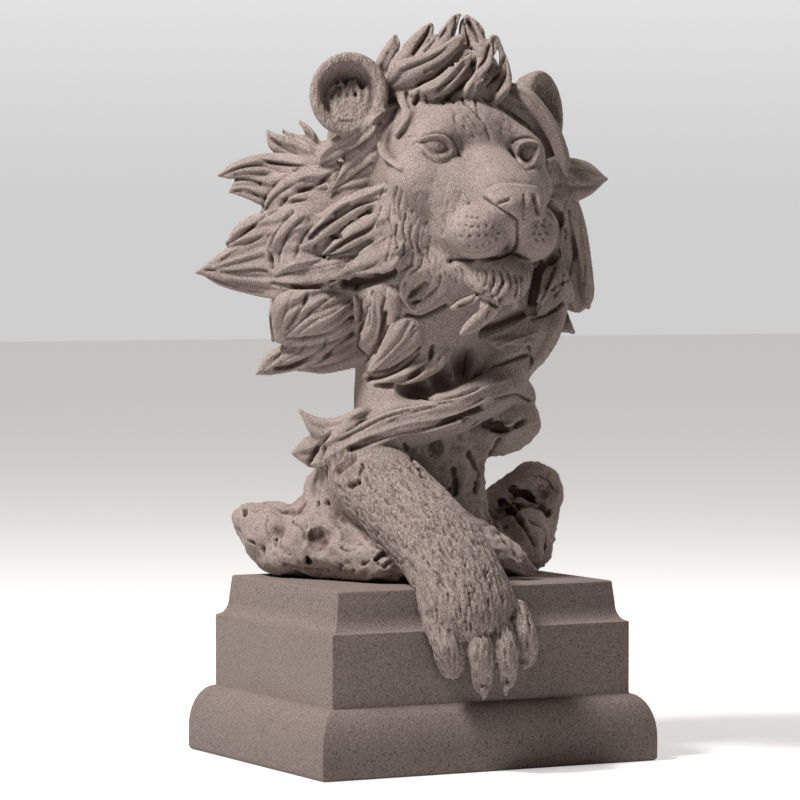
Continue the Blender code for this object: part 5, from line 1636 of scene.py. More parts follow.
FACE_LINES = (
    (((28.3, 251.3), (29.8, 254.3), (33.5, 256), (38, 256.4), (44.7, 255.8), (52.2, 255.1)), 1.8, 0.5),
    (((29, 252.8), (31.3, 256.2), (34.3, 257.5), (39.5, 258.1), (44.7, 257.6), (52.2, 256.6)), 2.4, -0.7),
    (((58, 248), (63, 242), (64.3, 233), (60.3, 224), (54, 219.5), (51.7, 210.9), (50.5, 200)), 2.8, -3.2),
    (((28, 251), (31.3, 248.3), (35.7, 245.3), (39.5, 243.1), (42.5, 240.9), (43.6, 240)), 1.3, -1.9),
    (((34.6, 248.2), (36.9, 248.9), (39.6, 250)), 1.2, -1.5),
    (((46.6, 252.1), (46.6, 247.6), (46.1, 240.9)), 0.9, -0.9),
    (((51.5, 251), (52.4, 247.6), (53.2, 244.4)), 2.4, -3.2),
    (((43.6, 240), (43.8, 234.9), (43, 229.6), (41, 226.3)), 1.3, -1.9),
    (((41, 226.3), (36.5, 224.4), (29.8, 222.9), (22.3, 222.5), (16.3, 222.9), (13.1, 222.5)), 1.2, -1.7),
    (((41, 226.3), (44.7, 224.4), (49.2, 222.1), (52.2, 221.2)), 1.2, -1.7),
    (((13.1, 222.5), (12.8, 222.1)), 1.8, -2.4),
    (((19.3, 226.3), (23.8, 225.9), (29, 226.3), (33.5, 228.9)), 0.8, -0.7),
    (((22.3, 227.5), (28.3, 228.5), (32.8, 230.8)), 0.7, -0.4),
    (((25.3, 290.3), (27.1, 286.1), (29.8, 282), (31.4, 276.8)), 1, -0.8),
    (((20.4, 292.9), (23.8, 289.5), (26.8, 285.8)), 0.9, -0.9),
    (((15.5, 288), (15.2, 285.8), (16.3, 283.5)), 0.9, -0.9),
    (((19.3, 286.5), (21.2, 284.3)), 0.8, -0.8),
    (((21.5, 287.3), (23.4, 285.4)), 0.8, -0.8),
    (((23.8, 283.9), (25.3, 282)), 0.8, -0.8),
    (((23, 279), (24.5, 277.5)), 0.7, -0.7),
    (((19.3, 282.8), (20.8, 280.9)), 0.7, -0.7),
    (((29, 281.3), (30.7, 277.5)), 0.7, -0.7),
    (((9.6, 241.6), (10.3, 237.9), (9.4, 233.7)), 0.9, -0.6),
    (((14.4, 277.5), (15.5, 275.3), (16.7, 272.7), (17.6, 269.7)), 1.3, -1.8),
    (((-3.5, 274.5), (-0.2, 277.8), (3.6, 279.3), (8.1, 279.9), (11.8, 278.9), (14.6, 276.6)), 1.2, -1),
    (((-7.7, 277.5), (-4.7, 278.3), (-0.9, 278.3)), 1, -0.5),
    (((1.3, 270.4), (4.3, 267.7), (8.8, 266.2), (13.3, 267.3)), 1.1, -0.7),
    (((41, 275.3), (43.2, 276.8), (47.7, 277.8), (52.2, 276.8), (54.5, 274.2)), 1.1, -0.9),
    (((40.1, 272.3), (41.7, 270), (43.2, 267.8), (45.1, 264.8)), 1.4, -1.6),
    (((43.6, 264.8), (47, 262.9), (51.1, 264.4)), 1, -0.6),
    (((26, 219.2), (25.3, 216.2), (26.4, 212.8)), 0.9, -1),
    (((29, 218.4), (29.8, 214.7), (28.3, 210.9)), 0.9, -1.2),
    (((32.8, 218.4), (33.1, 213.9), (31.3, 209.4)), 0.9, -1.3),
    (((36.1, 217.7), (37.2, 213.2), (35, 208.7), (32, 205.7)), 1, -1.4),
    (((39.5, 217.7), (41, 212.4), (38.7, 207.2), (35.7, 204.2)), 1, -1.4),
    (((42.5, 216.2), (43.6, 210.9), (42.5, 206.4)), 1, -1.3),
    (((45.1, 213.2), (45.9, 208.7), (44.7, 203.4)), 0.9, -1.2),
    (((22.3, 215.4), (23.8, 211.7), (22.3, 208.7)), 0.8, -0.8),
    (((29.8, 208.7), (26.8, 207.2), (23.8, 207.9)), 1, -1.1),
    (((-10.7, 255.1), (-12.2, 249.1), (-11.4, 243.1)), 0.9, -1),
    (((-8.4, 253.6), (-9.9, 246.1), (-8.8, 240.1)), 0.9, -1),
    (((-13.7, 247.6), (-14.4, 240.9), (-12.9, 235.6)), 0.9, -1.1),
    (((-6.9, 243.1), (-8, 236.4), (-6.5, 231.1)), 0.9, -1.2),
    (((-10.7, 238.6), (-11.4, 232.6), (-9.9, 228.1)), 0.9, -1.1),
    (((-3.9, 238.6), (-4.7, 232.6), (-3, 227.4)), 0.8, -0.9),
    (((-0.9, 234.1), (-1.3, 228.9), (0.6, 224.4)), 0.8, -0.9),
    (((-6.9, 229.6), (-7.7, 224.4), (-11.4, 219.2)), 0.9, -1.1),
    (((-3.2, 225.9), (-4.7, 220.6), (-9.2, 216.9)), 0.9, -1.1),
    (((1.3, 225.1), (-0.2, 219.9), (-4.7, 216.2)), 0.8, -0.9),
    (((-12.9, 234.1), (-14.4, 228.1), (-15.9, 222.1)), 0.9, -1.1),
    (((3.6, 228.1), (3.2, 223.6), (4.7, 220.6)), 0.8, -0.7),
    (((6.6, 224.4), (7.3, 220.6), (6.6, 216.9)), 0.8, -0.7),
    (((-15.1, 258.1), (-17.4, 253.6), (-18.9, 249.1)), 0.9, -0.9),
    (((8.8, 215.4), (7.3, 210.2), (2.1, 205.7), (-3.9, 203.4)), 1.3, -1.3),
    (((5.1, 215.4), (2.8, 210.9), (-1.7, 207.9)), 0.9, -0.8),
    (((2.1, 211.7), (-1.7, 208.7), (-4.7, 204.9), (-3.2, 201.2)), 2.2, -2.2),
    (((25.3, 207.2), (22.3, 203.4), (17.8, 201.9)), 1.2, -1.1),
    (((65.7, 249.1), (64.2, 241.6), (65.7, 234.1), (62.7, 228.1)), 1.2, -1.1),
    (((67.2, 244.6), (67.9, 235.6), (69.4, 225.1), (67.2, 216.2)), 1.6, -1.6),
    (((71.7, 241.6), (72.8, 232.6), (73.9, 222.1), (73.2, 211.7)), 1, -0.9),
    (((61.9, 225.1), (59.7, 217.7), (56.7, 210.9)), 1.2, -1),
    (((56.7, 207.2), (61.2, 210.9), (66.4, 213.9)), 1, -0.9),
)
# Whisker pits on both pads, row by row (across, up)
WHISKER_PITS = (
    ((21.5, 248.3),),
    ((17, 242), (20.8, 242.4), (23.4, 242), (25.6, 241.8)),
    ((14, 238.6), (17, 238.5), (20.4, 238.2), (23.4, 237.7), (26, 237.7), (29.8, 238), (32.8, 237.3)),
    ((15.5, 233.7), (18.2, 233.4), (22.3, 233.4), (26.4, 233.7), (29.8, 234.1), (32.4, 234.5), (35, 235)),
    ((21.5, 228.5), (25.3, 228.5), (28.3, 229.3), (31.3, 230.8), (34.3, 232.2)),
    ((53, 240.1), (55.6, 240.9)),
    ((52.2, 237.9), (55.2, 238.2), (58.2, 238.6)),
    ((51.1, 234.9), (53.7, 234.7), (56.7, 235.2)),
    ((52.2, 231.9), (55.2, 232.2)),
)
# The openings between the lids, as seen on the drawing: the near eye and the far eye
NEAR_LIDS = (
    (-1.7, 275.4), (2.1, 276.9), (7.3, 277.7), (11.4, 276.4), (13.4, 273.0),
    (13.4, 271.4), (11.8, 269.9), (7.3, 269.3), (3.6, 271.2), (1.2, 273.9),
)
FAR_LIDS = (
    (43.6, 270.0), (45.1, 273.6), (48.5, 274.9), (52.2, 273.8),
    (52.4, 270.8), (50.3, 266.3), (47.7, 265.0), (45.1, 267.1),
)
# Each eye: its opening, the middle of its iris on the drawing and the iris's radius
EYES = ((-1, NEAR_LIDS, (9.2, 273.6), 3.0), (1, FAR_LIDS, (47.9, 270.2), 2.9))


# The pieces


@dataclass
class Lion:
    """The cast figure: head, mane, neck, rock and foreleg in one skin."""

    finish: Sandstone
    seat_gap: float = 0.0003
    flesh_grain: float = 0.0011
    grain: float = 0.00068
    triangles: int = 194000
    seed: int = 11
    heap: Heap = field(default_factory=Heap)

    def body(self) -> Clay:
        """The bare masses, with the face and the rock's hollows worked in.

        Returns:
            The masses' surface.
        """
        flesh = Flesh(0.0022)
        add_head(flesh)
        add_body(flesh)
        add_rock(flesh)
        add_foreleg(flesh)
        add_eyes(flesh)
        clay = Clay(flesh.grown(self.flesh_grain))
        model_face(clay)
        weather_rock(clay)
        return clay

    def dress_in_hair(self, surface: BVHTree) -> None:
        """Lays every lock over the bare masses.

        Args:
            surface: The bare masses' surface.
        """
        hair = Hair(self.heap, surface)
        far_hair = Hair(self.heap, surface, nearest=0.0)
        for here, locks, lift in (
            (hair, LEFT_LOCKS, 0.5),
            (hair, LEFT_INNER_LOCKS, 2.5),
            (hair, CHEEK_LOCKS, 3.0),
            (hair, JAW_LOCKS, 1.5),
            (hair, CHIN_TUFTS, 0.0),
            (hair, FORELOCK, 2.0),
            (far_hair, RIGHT_LOCKS, 1.0),
            (far_hair, CURTAIN, -2.0),
            (far_hair, CURTAIN_FOLDS, 1.5),
            (hair, BROW_LOCKS, 2.5),
            (hair, SWIRL_LOCKS, 1.5),
        ):
            for upper, lower, *more in locks:
                here.leaf(upper, lower, lift + sum(more), hold=locks is CHIN_TUFTS)
        upper, lower, depths = EAR_LOCK
        hair.leaf(upper, lower, over=depths, plump=0.55)
        add_back_locks(Hair(self.heap, surface, side=From.BEHIND))

    def fill_ears(self) -> None:
        """Wisps of hair that fan up inside each ear."""
        tree = wisp_tree()
        count = 8
        for turn, (centre, outward, across, upward) in enumerate(ear_frames()):
            spots, edges, sizes = [], [], []
            for k in range(count):
                share = k / (count - 1) * 2 - 1
                sway = 1.4 * math.sin(k * 2.1 + turn)
                top = 8.5 - abs(share) * 5 + 2.0 * math.cos(k * 2.7)
                steps = (
                    (share * 4.4, -12.5, 1.5),
                    (share * 7 + sway * 0.5, -6.5, -0.8),
                    (share * 8.2 - sway, 0, -2.6),
                    (share * 7.2 + sway, top, -4.0),
                )
                stations = [centre + (across * a + upward * b + outward * c) * MM for a, b, c in steps]
                path = smooth_path(stations, 5)
                edges += [(len(spots) + i, len(spots) + i + 1) for i in range(len(path) - 1)]
                spots += [list(p) for p in path]
                sizes += list(np.linspace(1.9 + 0.5 * (k % 2), 0.8, len(path)) * MM)
            base = bpy.data.meshes.new("ear wisps")
            base.from_pydata(spots, edges, [])
            size = base.attributes.new("size", "FLOAT", "POINT")
            size.data.foreach_set("value", np.array(sizes, dtype=np.float32))
            grown = tree.grow("ear wisps", base, {"Sides": 10, "Step": 0.0008})
            self.heap.add(read_spots(grown), [list(p.vertices) for p in grown.polygons])
            bpy.data.meshes.remove(grown)

    def carve_face(self, clay: Clay) -> None:
        """The creases of the face, the lips and the whisker pits.

        Args:
            clay: The surface that is worked.
        """
        clay.draw(FACE_LINES)
        for row in WHISKER_PITS:
            for spot in row:
                clay.stroke(clay.on_drawing([spot]), 1.0, -1.1, power=1.2)
        clay.done()

    def open_eyes(self, clay: Clay) -> None:
        """Cuts the openings between the lids down to the eyeballs, with a rim, an iris and a pupil.

        Args:
            clay: The surface that is worked.
        """
        for hand, lids, middle, iris in EYES:
            eye = np.array(face(EYE[0] * hand, *EYE[1:]))
            away = clay.spots - eye
            toward = away @ np.array(TOWARD)
            near = np.flatnonzero((np.linalg.norm(away, axis=1) < 0.016) & (toward > 0.001))
            spots = clay.spots[near]
            depth = spots @ np.array(TOWARD) / MM
            shrink = 1 - depth / DRAWING_DISTANCE
            across = DRAWING_SHIFT + (spots @ np.array(ACROSS) / MM - DRAWING_SHIFT) / shrink
            up = DRAWING_HEIGHT + (spots[:, 2] / MM - DRAWING_HEIGHT) / shrink
            place = np.stack((across, up), axis=1)
            inside = self.within(place, even_path([*lids, lids[0]], 60))
            out = spots - eye
            far = np.linalg.norm(out, axis=1)
            open_share = np.clip(inside / 0.5 + 0.5, 0, 1)[:, None]
            ball = eye + out / far[:, None] * (EYE_RADIUS * MM)
            rim = np.exp(-((inside + 0.75) / 0.7) ** 2)[:, None] * 0.0006
            ring = np.linalg.norm(place - np.array(middle), axis=1)
            mark = 0.28 * np.exp(-((ring - iris) / 0.42) ** 2) + 0.65 * np.exp(-(ring**2))
            ball -= out / far[:, None] * (mark[:, None] * MM)
            clay.spots[near] = spots * (1 - open_share) + ball * open_share + clay.normals[near] * rim
        clay.done()

    def within(self, places: Spots, outline: Spots) -> Spots:
        """How far inside a closed outline each place of the drawing is.

        Args:
            places: The places, one row each.
            outline: The outline's points, with the first one again at the end.

        Returns:
            One distance in millimetres for each place; below zero is outside.
        """
        near = np.full(len(places), 1e9)
        crossings = np.zeros(len(places), dtype=int)
        for a, b in zip(outline, outline[1:]):
            run = b - a
            t = np.clip((places - a) @ run / max(run @ run, 1e-12), 0, 1)
            near = np.minimum(near, np.linalg.norm(places - a - t[:, None] * run, axis=1))
            spans = (a[1] > places[:, 1]) != (b[1] > places[:, 1])
            where = a[0] + (places[:, 1] - a[1]) / (run[1] if abs(run[1]) > 1e-12 else 1e-12) * run[0]
            crossings += spans & (places[:, 0] < where)
        return np.where(crossings % 2 == 1, near, -near)

    def ticks(self, clay: Clay, seeds: Spots, way: Spots, length: float, width: float, depth: float,
              chance: np.random.Generator) -> None:
        """Short wavy strokes of fur cut into the surface.

        Args:
            clay: The surface.
            seeds: Which points of it the strokes start from.
            way: The direction that the fur lies in, one row for each seed.
            length: The strokes' length in millimetres.
            width: Their half width in millimetres.
            depth: How deep they are cut, in millimetres.
            chance: Where their unevenness comes from.
        """
        for seed, flow in zip(seeds, way):
            normal = clay.normals[seed]
            along = flow - normal * (flow @ normal)
            along /= max(np.linalg.norm(along), 1e-9)
            aside = np.cross(normal, along)
            reach = length * chance.uniform(0.6, 1.2) * MM
            bend = chance.uniform(-0.35, 0.35) * reach
            start = clay.spots[seed]
            shares = (0.0, 0.35, 0.7, 1.0)
            line = [start + along * reach * t + aside * (bend * t * (1 - t) * 2) for t in shares]
            clay.stroke(line, width, -depth * chance.uniform(0.5, 1.0))

    def fur(self, clay: Clay) -> None:
        """Short fur on the foreleg, the cheeks, the brow and the chin.

        Args:
            clay: The surface that is worked.
        """
        chance = np.random.default_rng(self.seed)
        spots = clay.spots
        leg = [np.array(at(*p)) for p in (*FORELEG[1:], (24, 66, 50))]
        best = np.full(len(spots), 1.0)
        flow = np.zeros_like(spots)
        for a, b in zip(leg, leg[1:]):
            run = b - a
            t = np.clip((spots - a) @ run / (run @ run), 0, 1)
            off = np.linalg.norm(spots - a - t[:, None] * run, axis=1)
            closer = off < best
            best[closer] = off[closer]
            flow[closer] = run / np.linalg.norm(run)
        toward = spots @ np.array(TOWARD)
        on_leg = np.flatnonzero((best < 0.026) & (toward > 0.024) & (spots[:, 2] < 0.134))
        picked = chance.choice(on_leg, 2400)
        self.ticks(clay, picked, flow[picked], 4.4, 0.85, 0.75, chance)
        ahead = (spots - np.array(face(0, 0, 0))) @ np.array([list(SIDE), list(FORWARD), list(CROWN)]).T / MM
        side, forward, up = ahead.T
        cheek = (np.abs(side) > 20) & (np.abs(side) < 46) & (forward > -32) & (up < -14) & (up > -66)
        brow = (np.abs(side) < 17) & (forward > -25) & (up > 4) & (up < 24)
        chin = (np.abs(side) < 20) & (forward > -6) & (up < -50) & (up > -72)
        away = np.sign(side)[:, None] * np.array(SIDE) * 0.35 - np.array(CROWN)
        for where, number, way, length, width, depth in (
            (cheek, 420, away, 5.0, 0.7, 0.5),
            (brow, 90, away * np.array((1, 1, -1)), 3.0, 0.6, 0.4),
            (chin, 160, np.tile(-np.array(CROWN), (len(spots), 1)), 5.5, 0.8, 0.8),
        ):
            picked = chance.choice(np.flatnonzero(where), number)
            self.ticks(clay, picked, way[picked], length, width, depth, chance)
        clay.done()

    def weather(self, clay: Clay) -> None:
        """Ridges, hollows and small pits over the rock.

        Args:
            clay: The surface that is worked.
        """
        chance = np.random.default_rng(self.seed + 1)
        spots = clay.spots
        rock = self.rock_share(spots)
        ridges = 1 - np.abs(rough(spots, 0.010, 3)) * 2.2
        fine = 1 - np.abs(rough(spots, 0.0042, 5)) * 2
        grit = rough(spots, 0.0017, 7)
        off = ridges * 1.1 + fine * 0.55 + grit * 0.25 - 1.0
        clay.spots = spots + clay.normals * (off * rock * MM)[:, None]
        where = np.flatnonzero(rock > 0.6)
        for seed in chance.choice(where, 420):
            size = chance.uniform(0.6, 1.3)
            clay.stroke([clay.spots[seed]], size, -size * chance.uniform(0.5, 1.0), power=1.2)
        clay.done()

    def off_leg(self, spots: Spots) -> Spots:
        """How far each point is from the foreleg's middle line, in millimetres.

        Args:
            spots: The points, in metres.

        Returns:
            One distance for each point.
        """
        leg = [np.array(at(*p)) for p in (*FORELEG, (24, 66, 30))]
        off = np.full(len(spots), 1.0)
        for a, b in zip(leg, leg[1:]):
            run = b - a
            t = np.clip((spots - a) @ run / (run @ run), 0, 1)
            off = np.minimum(off, np.linalg.norm(spots - a - t[:, None] * run, axis=1))
        return off / MM

    def fur_share(self, spots: Spots) -> Spots:
        """How much of each point is short fur: 1 on the foreleg and on the rims of the ears.

        Args:
            spots: The points, in metres.

        Returns:
            A share from 0 to 1 for each point.
        """
        toward = spots @ np.array(TOWARD) / MM
        leg = np.clip((20.5 - self.off_leg(spots)) / 2.0, 0, 1) * np.clip((toward - 8) / 8, 0, 1)
        share = np.where(spots[:, 2] < 80 * MM, np.where(toward > 50, 0.6, leg), leg)
        for centre, outward, across, upward in ear_frames():
            away = (spots - np.array(centre)) @ np.array([list(outward), list(across), list(upward)]).T / MM
            ring = np.hypot(away[:, 1], away[:, 2])
            on_rim = (np.abs(away[:, 0]) < 6) & (ring < 19.5)
            share = np.maximum(share, np.where(on_rim, 0.7, 0.0))
        return share

    def rock_share(self, spots: Spots) -> Spots:
        """How much of each point is rock: 1 on the rock, 0 on fur and hair.

        Args:
            spots: The points, in metres.

        Returns:
            A share from 0 to 1 for each point.
        """
        across = spots @ np.array(ACROSS) / MM
        toward = spots @ np.array(TOWARD) / MM
        up = spots[:, 2] / MM
        clear = np.clip((self.off_leg(spots) - 19.5) / 2.5, 0, 1)
        hair_line = 132 + np.clip((across + 30) * 0.34, 0, 32)
        below = np.clip((hair_line - up) / 4, 0, 1)
        return clear * below * np.where(toward > 64, 0.0, 1.0)

    def build(self) -> bpy.types.Object:
        """Makes the figure.

        Returns:
            The finished piece, with its material.
        """
        clay = self.body()
        under_hair = clay.surface
        hollow_throat(clay)
        self.heap.add(clay.spots, [list(p.vertices) for p in clay.mesh.polygons])
        add_ears(self.heap)
        self.fill_ears()
        add_toes(self.heap)
        LOG.info("bare figure: %d points", len(clay.spots))
        self.dress_in_hair(under_hair)
        mesh = relaxed(self.heap.skin("lion", self.grain * (1.0)), 0.5, 1)
        LOG.info("one skin: %d points", len(mesh.vertices))
        clay = Clay(mesh)
        self.open_eyes(clay)
        self.carve_face(clay)
        for lines in (MANE_LINES, NECK_LINES, CREST_LINES, ROCK_LINES):
            clay.draw(lines)
        clay.done()
        self.fur(clay)
        self.weather(clay)
        # How sunk each point is, which the finish turns into painted shade in crevices and a painted
        # highlight on ridges
        mark_hollows(clay.mesh)
        # How furred each point is, which the finish turns into a fine hair bump and painted shade between the
        # hairs
        furred = clay.mesh.attributes.new("fur", "FLOAT", "POINT")
        furred.data.foreach_set("value", self.fur_share(clay.spots).astype(np.float32))
        mesh = self.seated(self.thinned(clay.mesh))
        low, high = (np.array([list(corner)]) for corner in CAD_BOX)
        write_spots(mesh, np.clip(read_spots(mesh), low, high))
        for polygon in mesh.polygons:
            polygon.use_smooth = True
        lion = placed("lion_carved", mesh)
        lion.data.materials.clear()
        lion.data.materials.append(self.finish.material())
        return lion

    def thinned(self, mesh: bpy.types.Mesh) -> bpy.types.Mesh:
        """The mesh with fewer triangles where it is calm.

        Args:
            mesh: The mesh, which is used up.

        Returns:
            The thinned mesh.
        """
        obj = placed("thinned", mesh)
        thin = obj.modifiers.new("thin", "DECIMATE")
        thin.ratio = min(1.0, self.triangles / (2 * len(mesh.polygons)))
        return settled(obj)

    def seated(self, mesh: bpy.types.Mesh) -> bpy.types.Mesh:
        """The mesh cut clear of the plinth under it, as one closed body.

        Args:
            mesh: The mesh, which is used up.

        Returns:
            The cut mesh.
        """
        tool = placed("seat", PLINTH.block("seat", self.seat_gap))
        obj = placed("seated", mesh)
        seat = obj.modifiers.new("seat", "BOOLEAN")
        seat.operation = "DIFFERENCE"
        seat.solver = "EXACT"
        seat.object = tool
        made = settled(obj)
        bpy.data.objects.remove(tool)
        keep_largest(made)
        return made


def mend_pinches(work: bmesh.types.BMesh) -> None:
    """Opens the spots where the skin only just meets itself and closes each side for itself.

    Args:
        work: The mesh that is mended.
    """
    for _ in range(6):
        pinched = [v for v in work.verts if not v.is_manifold]
        if not pinched:
            break
        bmesh.ops.delete(work, geom=pinched, context="VERTS")
        bmesh.ops.holes_fill(work, edges=[e for e in work.edges if e.is_boundary], sides=0)
        bmesh.ops.triangulate(work, faces=work.faces[:])


def keep_largest(mesh: bpy.types.Mesh) -> None:
    """Drops crumbs and closed bubbles, and leaves the one big body.

    Args:
        mesh: The mesh that is cleaned.
    """
    work = bmesh.new()
    work.from_mesh(mesh)
    mend_pinches(work)
    left = set(work.verts)
    bodies = []
    while left:
        body, edge = set(), [left.pop()]
        while edge:
            vert = edge.pop()
            body.add(vert)
            for e in vert.link_edges:
                other = e.other_vert(vert)
                if other in left:
                    left.discard(other)
                    edge.append(other)
        bodies.append(body)
    bodies.sort(key=len)
    crumbs = [v for body in bodies[:-1] for v in body]
    bmesh.ops.delete(work, geom=crumbs, context="VERTS")
    bmesh.ops.triangulate(work, faces=work.faces[:])
    bmesh.ops.recalc_face_normals(work, faces=work.faces[:])
    work.to_mesh(mesh)
    work.free()


@dataclass
class Plinth:
    """The moulded block: a foot, an upright die and a coved top."""

    finish: Sandstone
    height: float = 0.080
    die_width: float = 0.1482
    die_depth: float = 0.1182
    die_foot: float = 0.0297
    die_head: float = 0.0620
    base_overhang: float = 0.0093
    base_lip: float = 0.0130
    base_round: float = 0.0018
    cap_setback: float = 0.0056
    cap_cove: float = 0.0080
    softening: float = 0.0006
    steps: int = 14

    def profile(self, spare: float = 0.0) -> list[tuple[float, float]]:
        """The section of the moulding.

        Args:
            spare: How much is added to the height, in metres.

        Returns:
            Points from the foot to the top: how far out from the die's face, and how high.
        """
        lip = self.base_lip * 0.8
        points = [(self.base_overhang - self.base_round, 0.0)]
        for k in range(1, 5):
            t = math.pi / 2 * k / 4
            out = self.base_overhang - self.base_round * (1 - math.sin(t))
            points.append((out, self.base_round * (1 - math.cos(t))))
        for k in range(self.steps):
            t = math.pi / 2 * k / self.steps
            points.append((self.base_overhang * math.cos(t), lip + (self.die_foot - lip) * math.sin(t)))
        points += [(0.0, self.die_foot), (0.0, self.die_head)]
        for k in range(1, self.steps):
            t = math.pi / 2 * k / (self.steps - 1)
            up = self.die_head + self.cap_cove * (1 - math.cos(t))
            points.append((-self.cap_setback * 0.82 * math.sin(t), up))
        points.append((-self.cap_setback, self.height + spare - self.softening))
        points.append((-self.cap_setback - self.softening, self.height + spare))
        return points

    def block(self, name: str, spare: float = 0.0) -> bpy.types.Mesh:
        """The moulded block, each moulding mitred round its corners.

        Args:
            name: The new mesh's name.
            spare: How much is added all round, in metres.

        Returns:
            The closed mesh.
        """
        points = self.profile(spare)
        base = bpy.data.meshes.new(name)
        base.from_pydata([(out + spare, 0.0, up) for out, up in points], [], [])
        sizes = {
            "Width": self.die_width,
            "Depth": self.die_depth,
            "Rows": len(points),
            "Finish": self.finish.material(),
        }
        return moulding_tree().grow(name, base, sizes)

    def build(self) -> bpy.types.Object:
        """Makes the plinth with slightly worn arrises.

        Returns:
            The finished piece, with its material.
        """
        mesh = self.block("plinth_moulded")
        obj = placed("plinth_moulded", mesh)
        soften = obj.modifiers.new("worn corners", "BEVEL")
        soften.width = self.softening
        soften.segments = 3
        soften.limit_method = "ANGLE"
        soften.angle_limit = math.radians(40)
        made = settled(obj)
        made.name = "plinth_moulded"
        for polygon in made.polygons:
            polygon.use_smooth = True
        plinth = placed("plinth_moulded", made)
        # The hollow value is flat everywhere, so the plinth gets no painted shade or highlight
        level = made.attributes.new("hollow", "FLOAT", "POINT")
        level.data.foreach_set("value", np.full(len(made.vertices), 0.5, dtype=np.float32))
        made.set_sharp_from_angle(angle=math.radians(25))
        return plinth


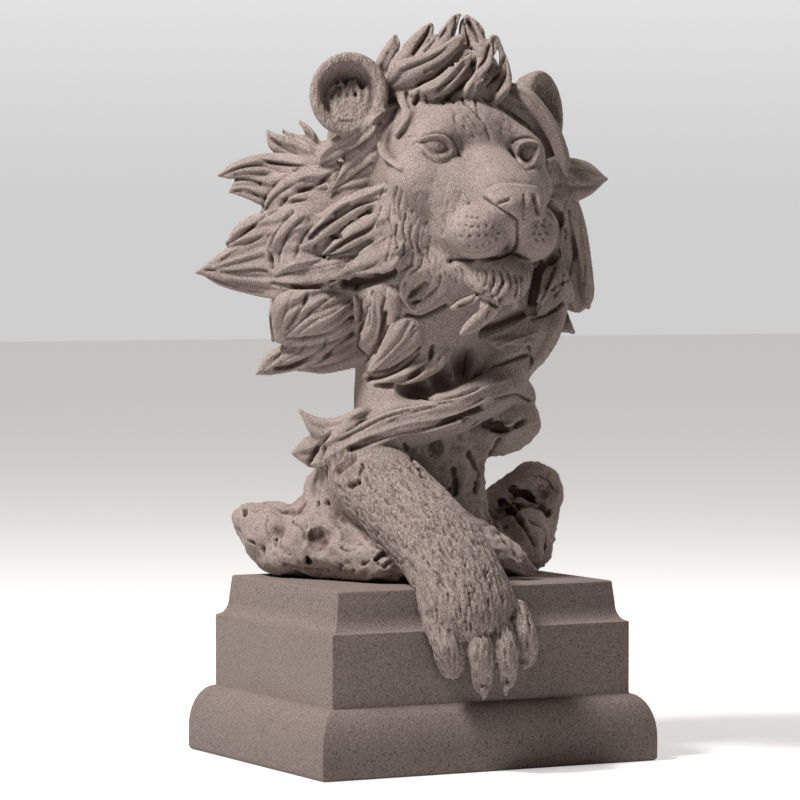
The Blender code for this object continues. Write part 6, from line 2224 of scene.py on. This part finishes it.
@dataclass
class Studio:
    """A plain pale floor, soft light from above and the camera."""

    azimuth: float = DRAWING_TURN
    elevation: float = math.radians(2.06)
    distance: float = 1.8528
    shift: float = -0.00915
    aim: float = 0.15987
    lens: float = 36 * 4125.5 / 800
    horizon: float = 0.05
    zenith: float = 0.17
    haze: tuple[float, float] = (0.62, 0.90)
    key_power: float = 35
    rim_power: float = 4
    warm_sky: tuple[float, float, float] = (1.0, 0.80, 0.68)
    floor_reach: float = 8.0
    floor_grey: float = 0.80
    floor_glow: float = 0.45

    def back(self) -> Vector:
        """The direction from the object to the camera."""
        a, e = self.azimuth, self.elevation
        return Vector((math.sin(a) * math.cos(e), -math.cos(a) * math.cos(e), math.sin(e)))

    def camera(self) -> None:
        """Sets the scene's camera at the drawing's viewpoint."""
        scene = bpy.context.scene
        camera = bpy.data.objects.new("camera", bpy.data.cameras.new("camera"))
        scene.collection.objects.link(camera)
        camera.data.lens = self.lens
        camera.data.sensor_width = 36
        camera.data.clip_start = 0.05
        camera.location = ACROSS * self.shift + UP * self.aim + self.back() * self.distance
        camera.rotation_mode = "QUATERNION"
        camera.rotation_quaternion = (-self.back()).to_track_quat("-Z", "Y")
        scene.camera = camera
        scene.view_settings.view_transform = "Standard"

    def lamp(self, name: str, place: Vector, size: float, power: float, warmth: tuple) -> None:
        """A soft square light that looks at the middle of the object.

        Args:
            name: The light's name.
            place: Where it stands, in metres.
            size: The length of its side, in metres.
            power: Its power in watts.
            warmth: Its colour.
        """
        light = bpy.data.lights.new(name, "AREA")
        light.size = size
        light.energy = power
        light.color = warmth
        obj = bpy.data.objects.new(name, light)
        bpy.context.scene.collection.objects.link(obj)
        obj.location = place
        obj.rotation_mode = "QUATERNION"
        obj.rotation_quaternion = (Vector((0, 0, 0.18)) - place).to_track_quat("-Z", "Y")

    def lights(self) -> None:
        """A soft key from above and the left, a rim from behind and an even fill."""
        middle = Vector((0, 0, 0.2))
        level = Vector((self.back().x, self.back().y, 0)).normalized()
        key = middle + level * 0.45 - ACROSS * 0.80 + UP * 1.25
        rim = middle - level * 0.6 + ACROSS * 0.75 + UP * 0.7
        self.lamp("key", key, 0.30, self.key_power, (1.0, 0.99, 0.98))
        self.lamp("rim", rim, 0.35, self.rim_power, (1.0, 0.98, 0.96))
        world = bpy.data.worlds.new("studio")
        bpy.context.scene.world = world
        world.use_nodes = True
        nodes, links = world.node_tree.nodes, world.node_tree.links
        shown = nodes["Background"]
        sky = nodes.new("ShaderNodeBackground")
        sky.inputs["Color"].default_value = (*self.warm_sky, 1.0)
        place = nodes.new("ShaderNodeTexCoord")
        split = nodes.new("ShaderNodeSeparateXYZ")
        links.new(place.outputs["Generated"], split.inputs[0])
        shown.inputs["Color"].default_value = (1.0, 1.0, 1.0, 1.0)
        for background, heights, strengths in (
            (sky, (0.1, 1.0), (self.horizon, self.zenith)),
            (shown, (0.0, 0.12), self.haze),
        ):
            climb = nodes.new("ShaderNodeMapRange")
            climb.interpolation_type = "SMOOTHSTEP"
            for name, value in zip(("From Min", "From Max", "To Min", "To Max"), (*heights, *strengths)):
                climb.inputs[name].default_value = value
            links.new(split.outputs["Z"], climb.inputs["Value"])
            links.new(climb.outputs["Result"], background.inputs["Strength"])
        path = nodes.new("ShaderNodeLightPath")
        choose = nodes.new("ShaderNodeMixShader")
        links.new(path.outputs["Is Camera Ray"], choose.inputs[0])
        links.new(sky.outputs[0], choose.inputs[1])
        links.new(shown.outputs[0], choose.inputs[2])
        links.new(choose.outputs[0], nodes["World Output"].inputs["Surface"])

    def floor(self) -> bpy.types.Object:
        """The pale floor.

        Returns:
            The floor, which isn't part of the object.
        """
        mesh = bpy.data.meshes.new("floor")
        reach = self.floor_reach
        corners = [(-reach, -reach, 0), (reach, -reach, 0), (reach, reach, 0), (-reach, reach, 0)]
        mesh.from_pydata(corners, [], [(0, 1, 2, 3)])
        material = bpy.data.materials.new("pale floor")
        material.use_nodes = True
        shader = material.node_tree.nodes["Principled BSDF"]
        shader.inputs["Base Color"].default_value = (self.floor_grey, self.floor_grey, self.floor_grey, 1.0)
        shader.inputs["Roughness"].default_value = 0.9
        shader.inputs["Emission Color"].default_value = (1.0, 1.0, 1.0, 1.0)
        seen = material.node_tree.nodes.new("ShaderNodeLightPath")
        pale = material.node_tree.nodes.new("ShaderNodeMath")
        pale.operation = "MULTIPLY"
        pale.inputs[1].default_value = self.floor_glow
        material.node_tree.links.new(seen.outputs["Is Camera Ray"], pale.inputs[0])
        material.node_tree.links.new(pale.outputs[0], shader.inputs["Emission Strength"])
        mesh.materials.append(material)
        floor = placed("floor", mesh)
        return floor


PLINTH = Plinth(
    Sandstone("plinth sandstone", body=(0.222, 0.178, 0.161), spark=(0.34, 0.285, 0.26), speckle=0.75)
)


def main() -> None:
    """Builds the studio and both pieces."""
    logging.basicConfig(level=logging.INFO, format="%(name)s %(relativeCreated)d ms: %(message)s")
    studio = Studio()
    studio.camera()
    studio.lights()
    studio.floor()
    plinth = PLINTH.build()
    LOG.info("plinth: %d faces", len(plinth.data.polygons))
    lion = Lion(Sandstone("carved sandstone", bump=0.45, furred=True)).build()
    LOG.info("lion: %d triangles", len(lion.data.polygons))
    for piece, node in ((plinth, "plinth"), (lion, "lion")):
        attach(piece, "root")
        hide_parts(node)


if __name__ == "__main__":
    main()
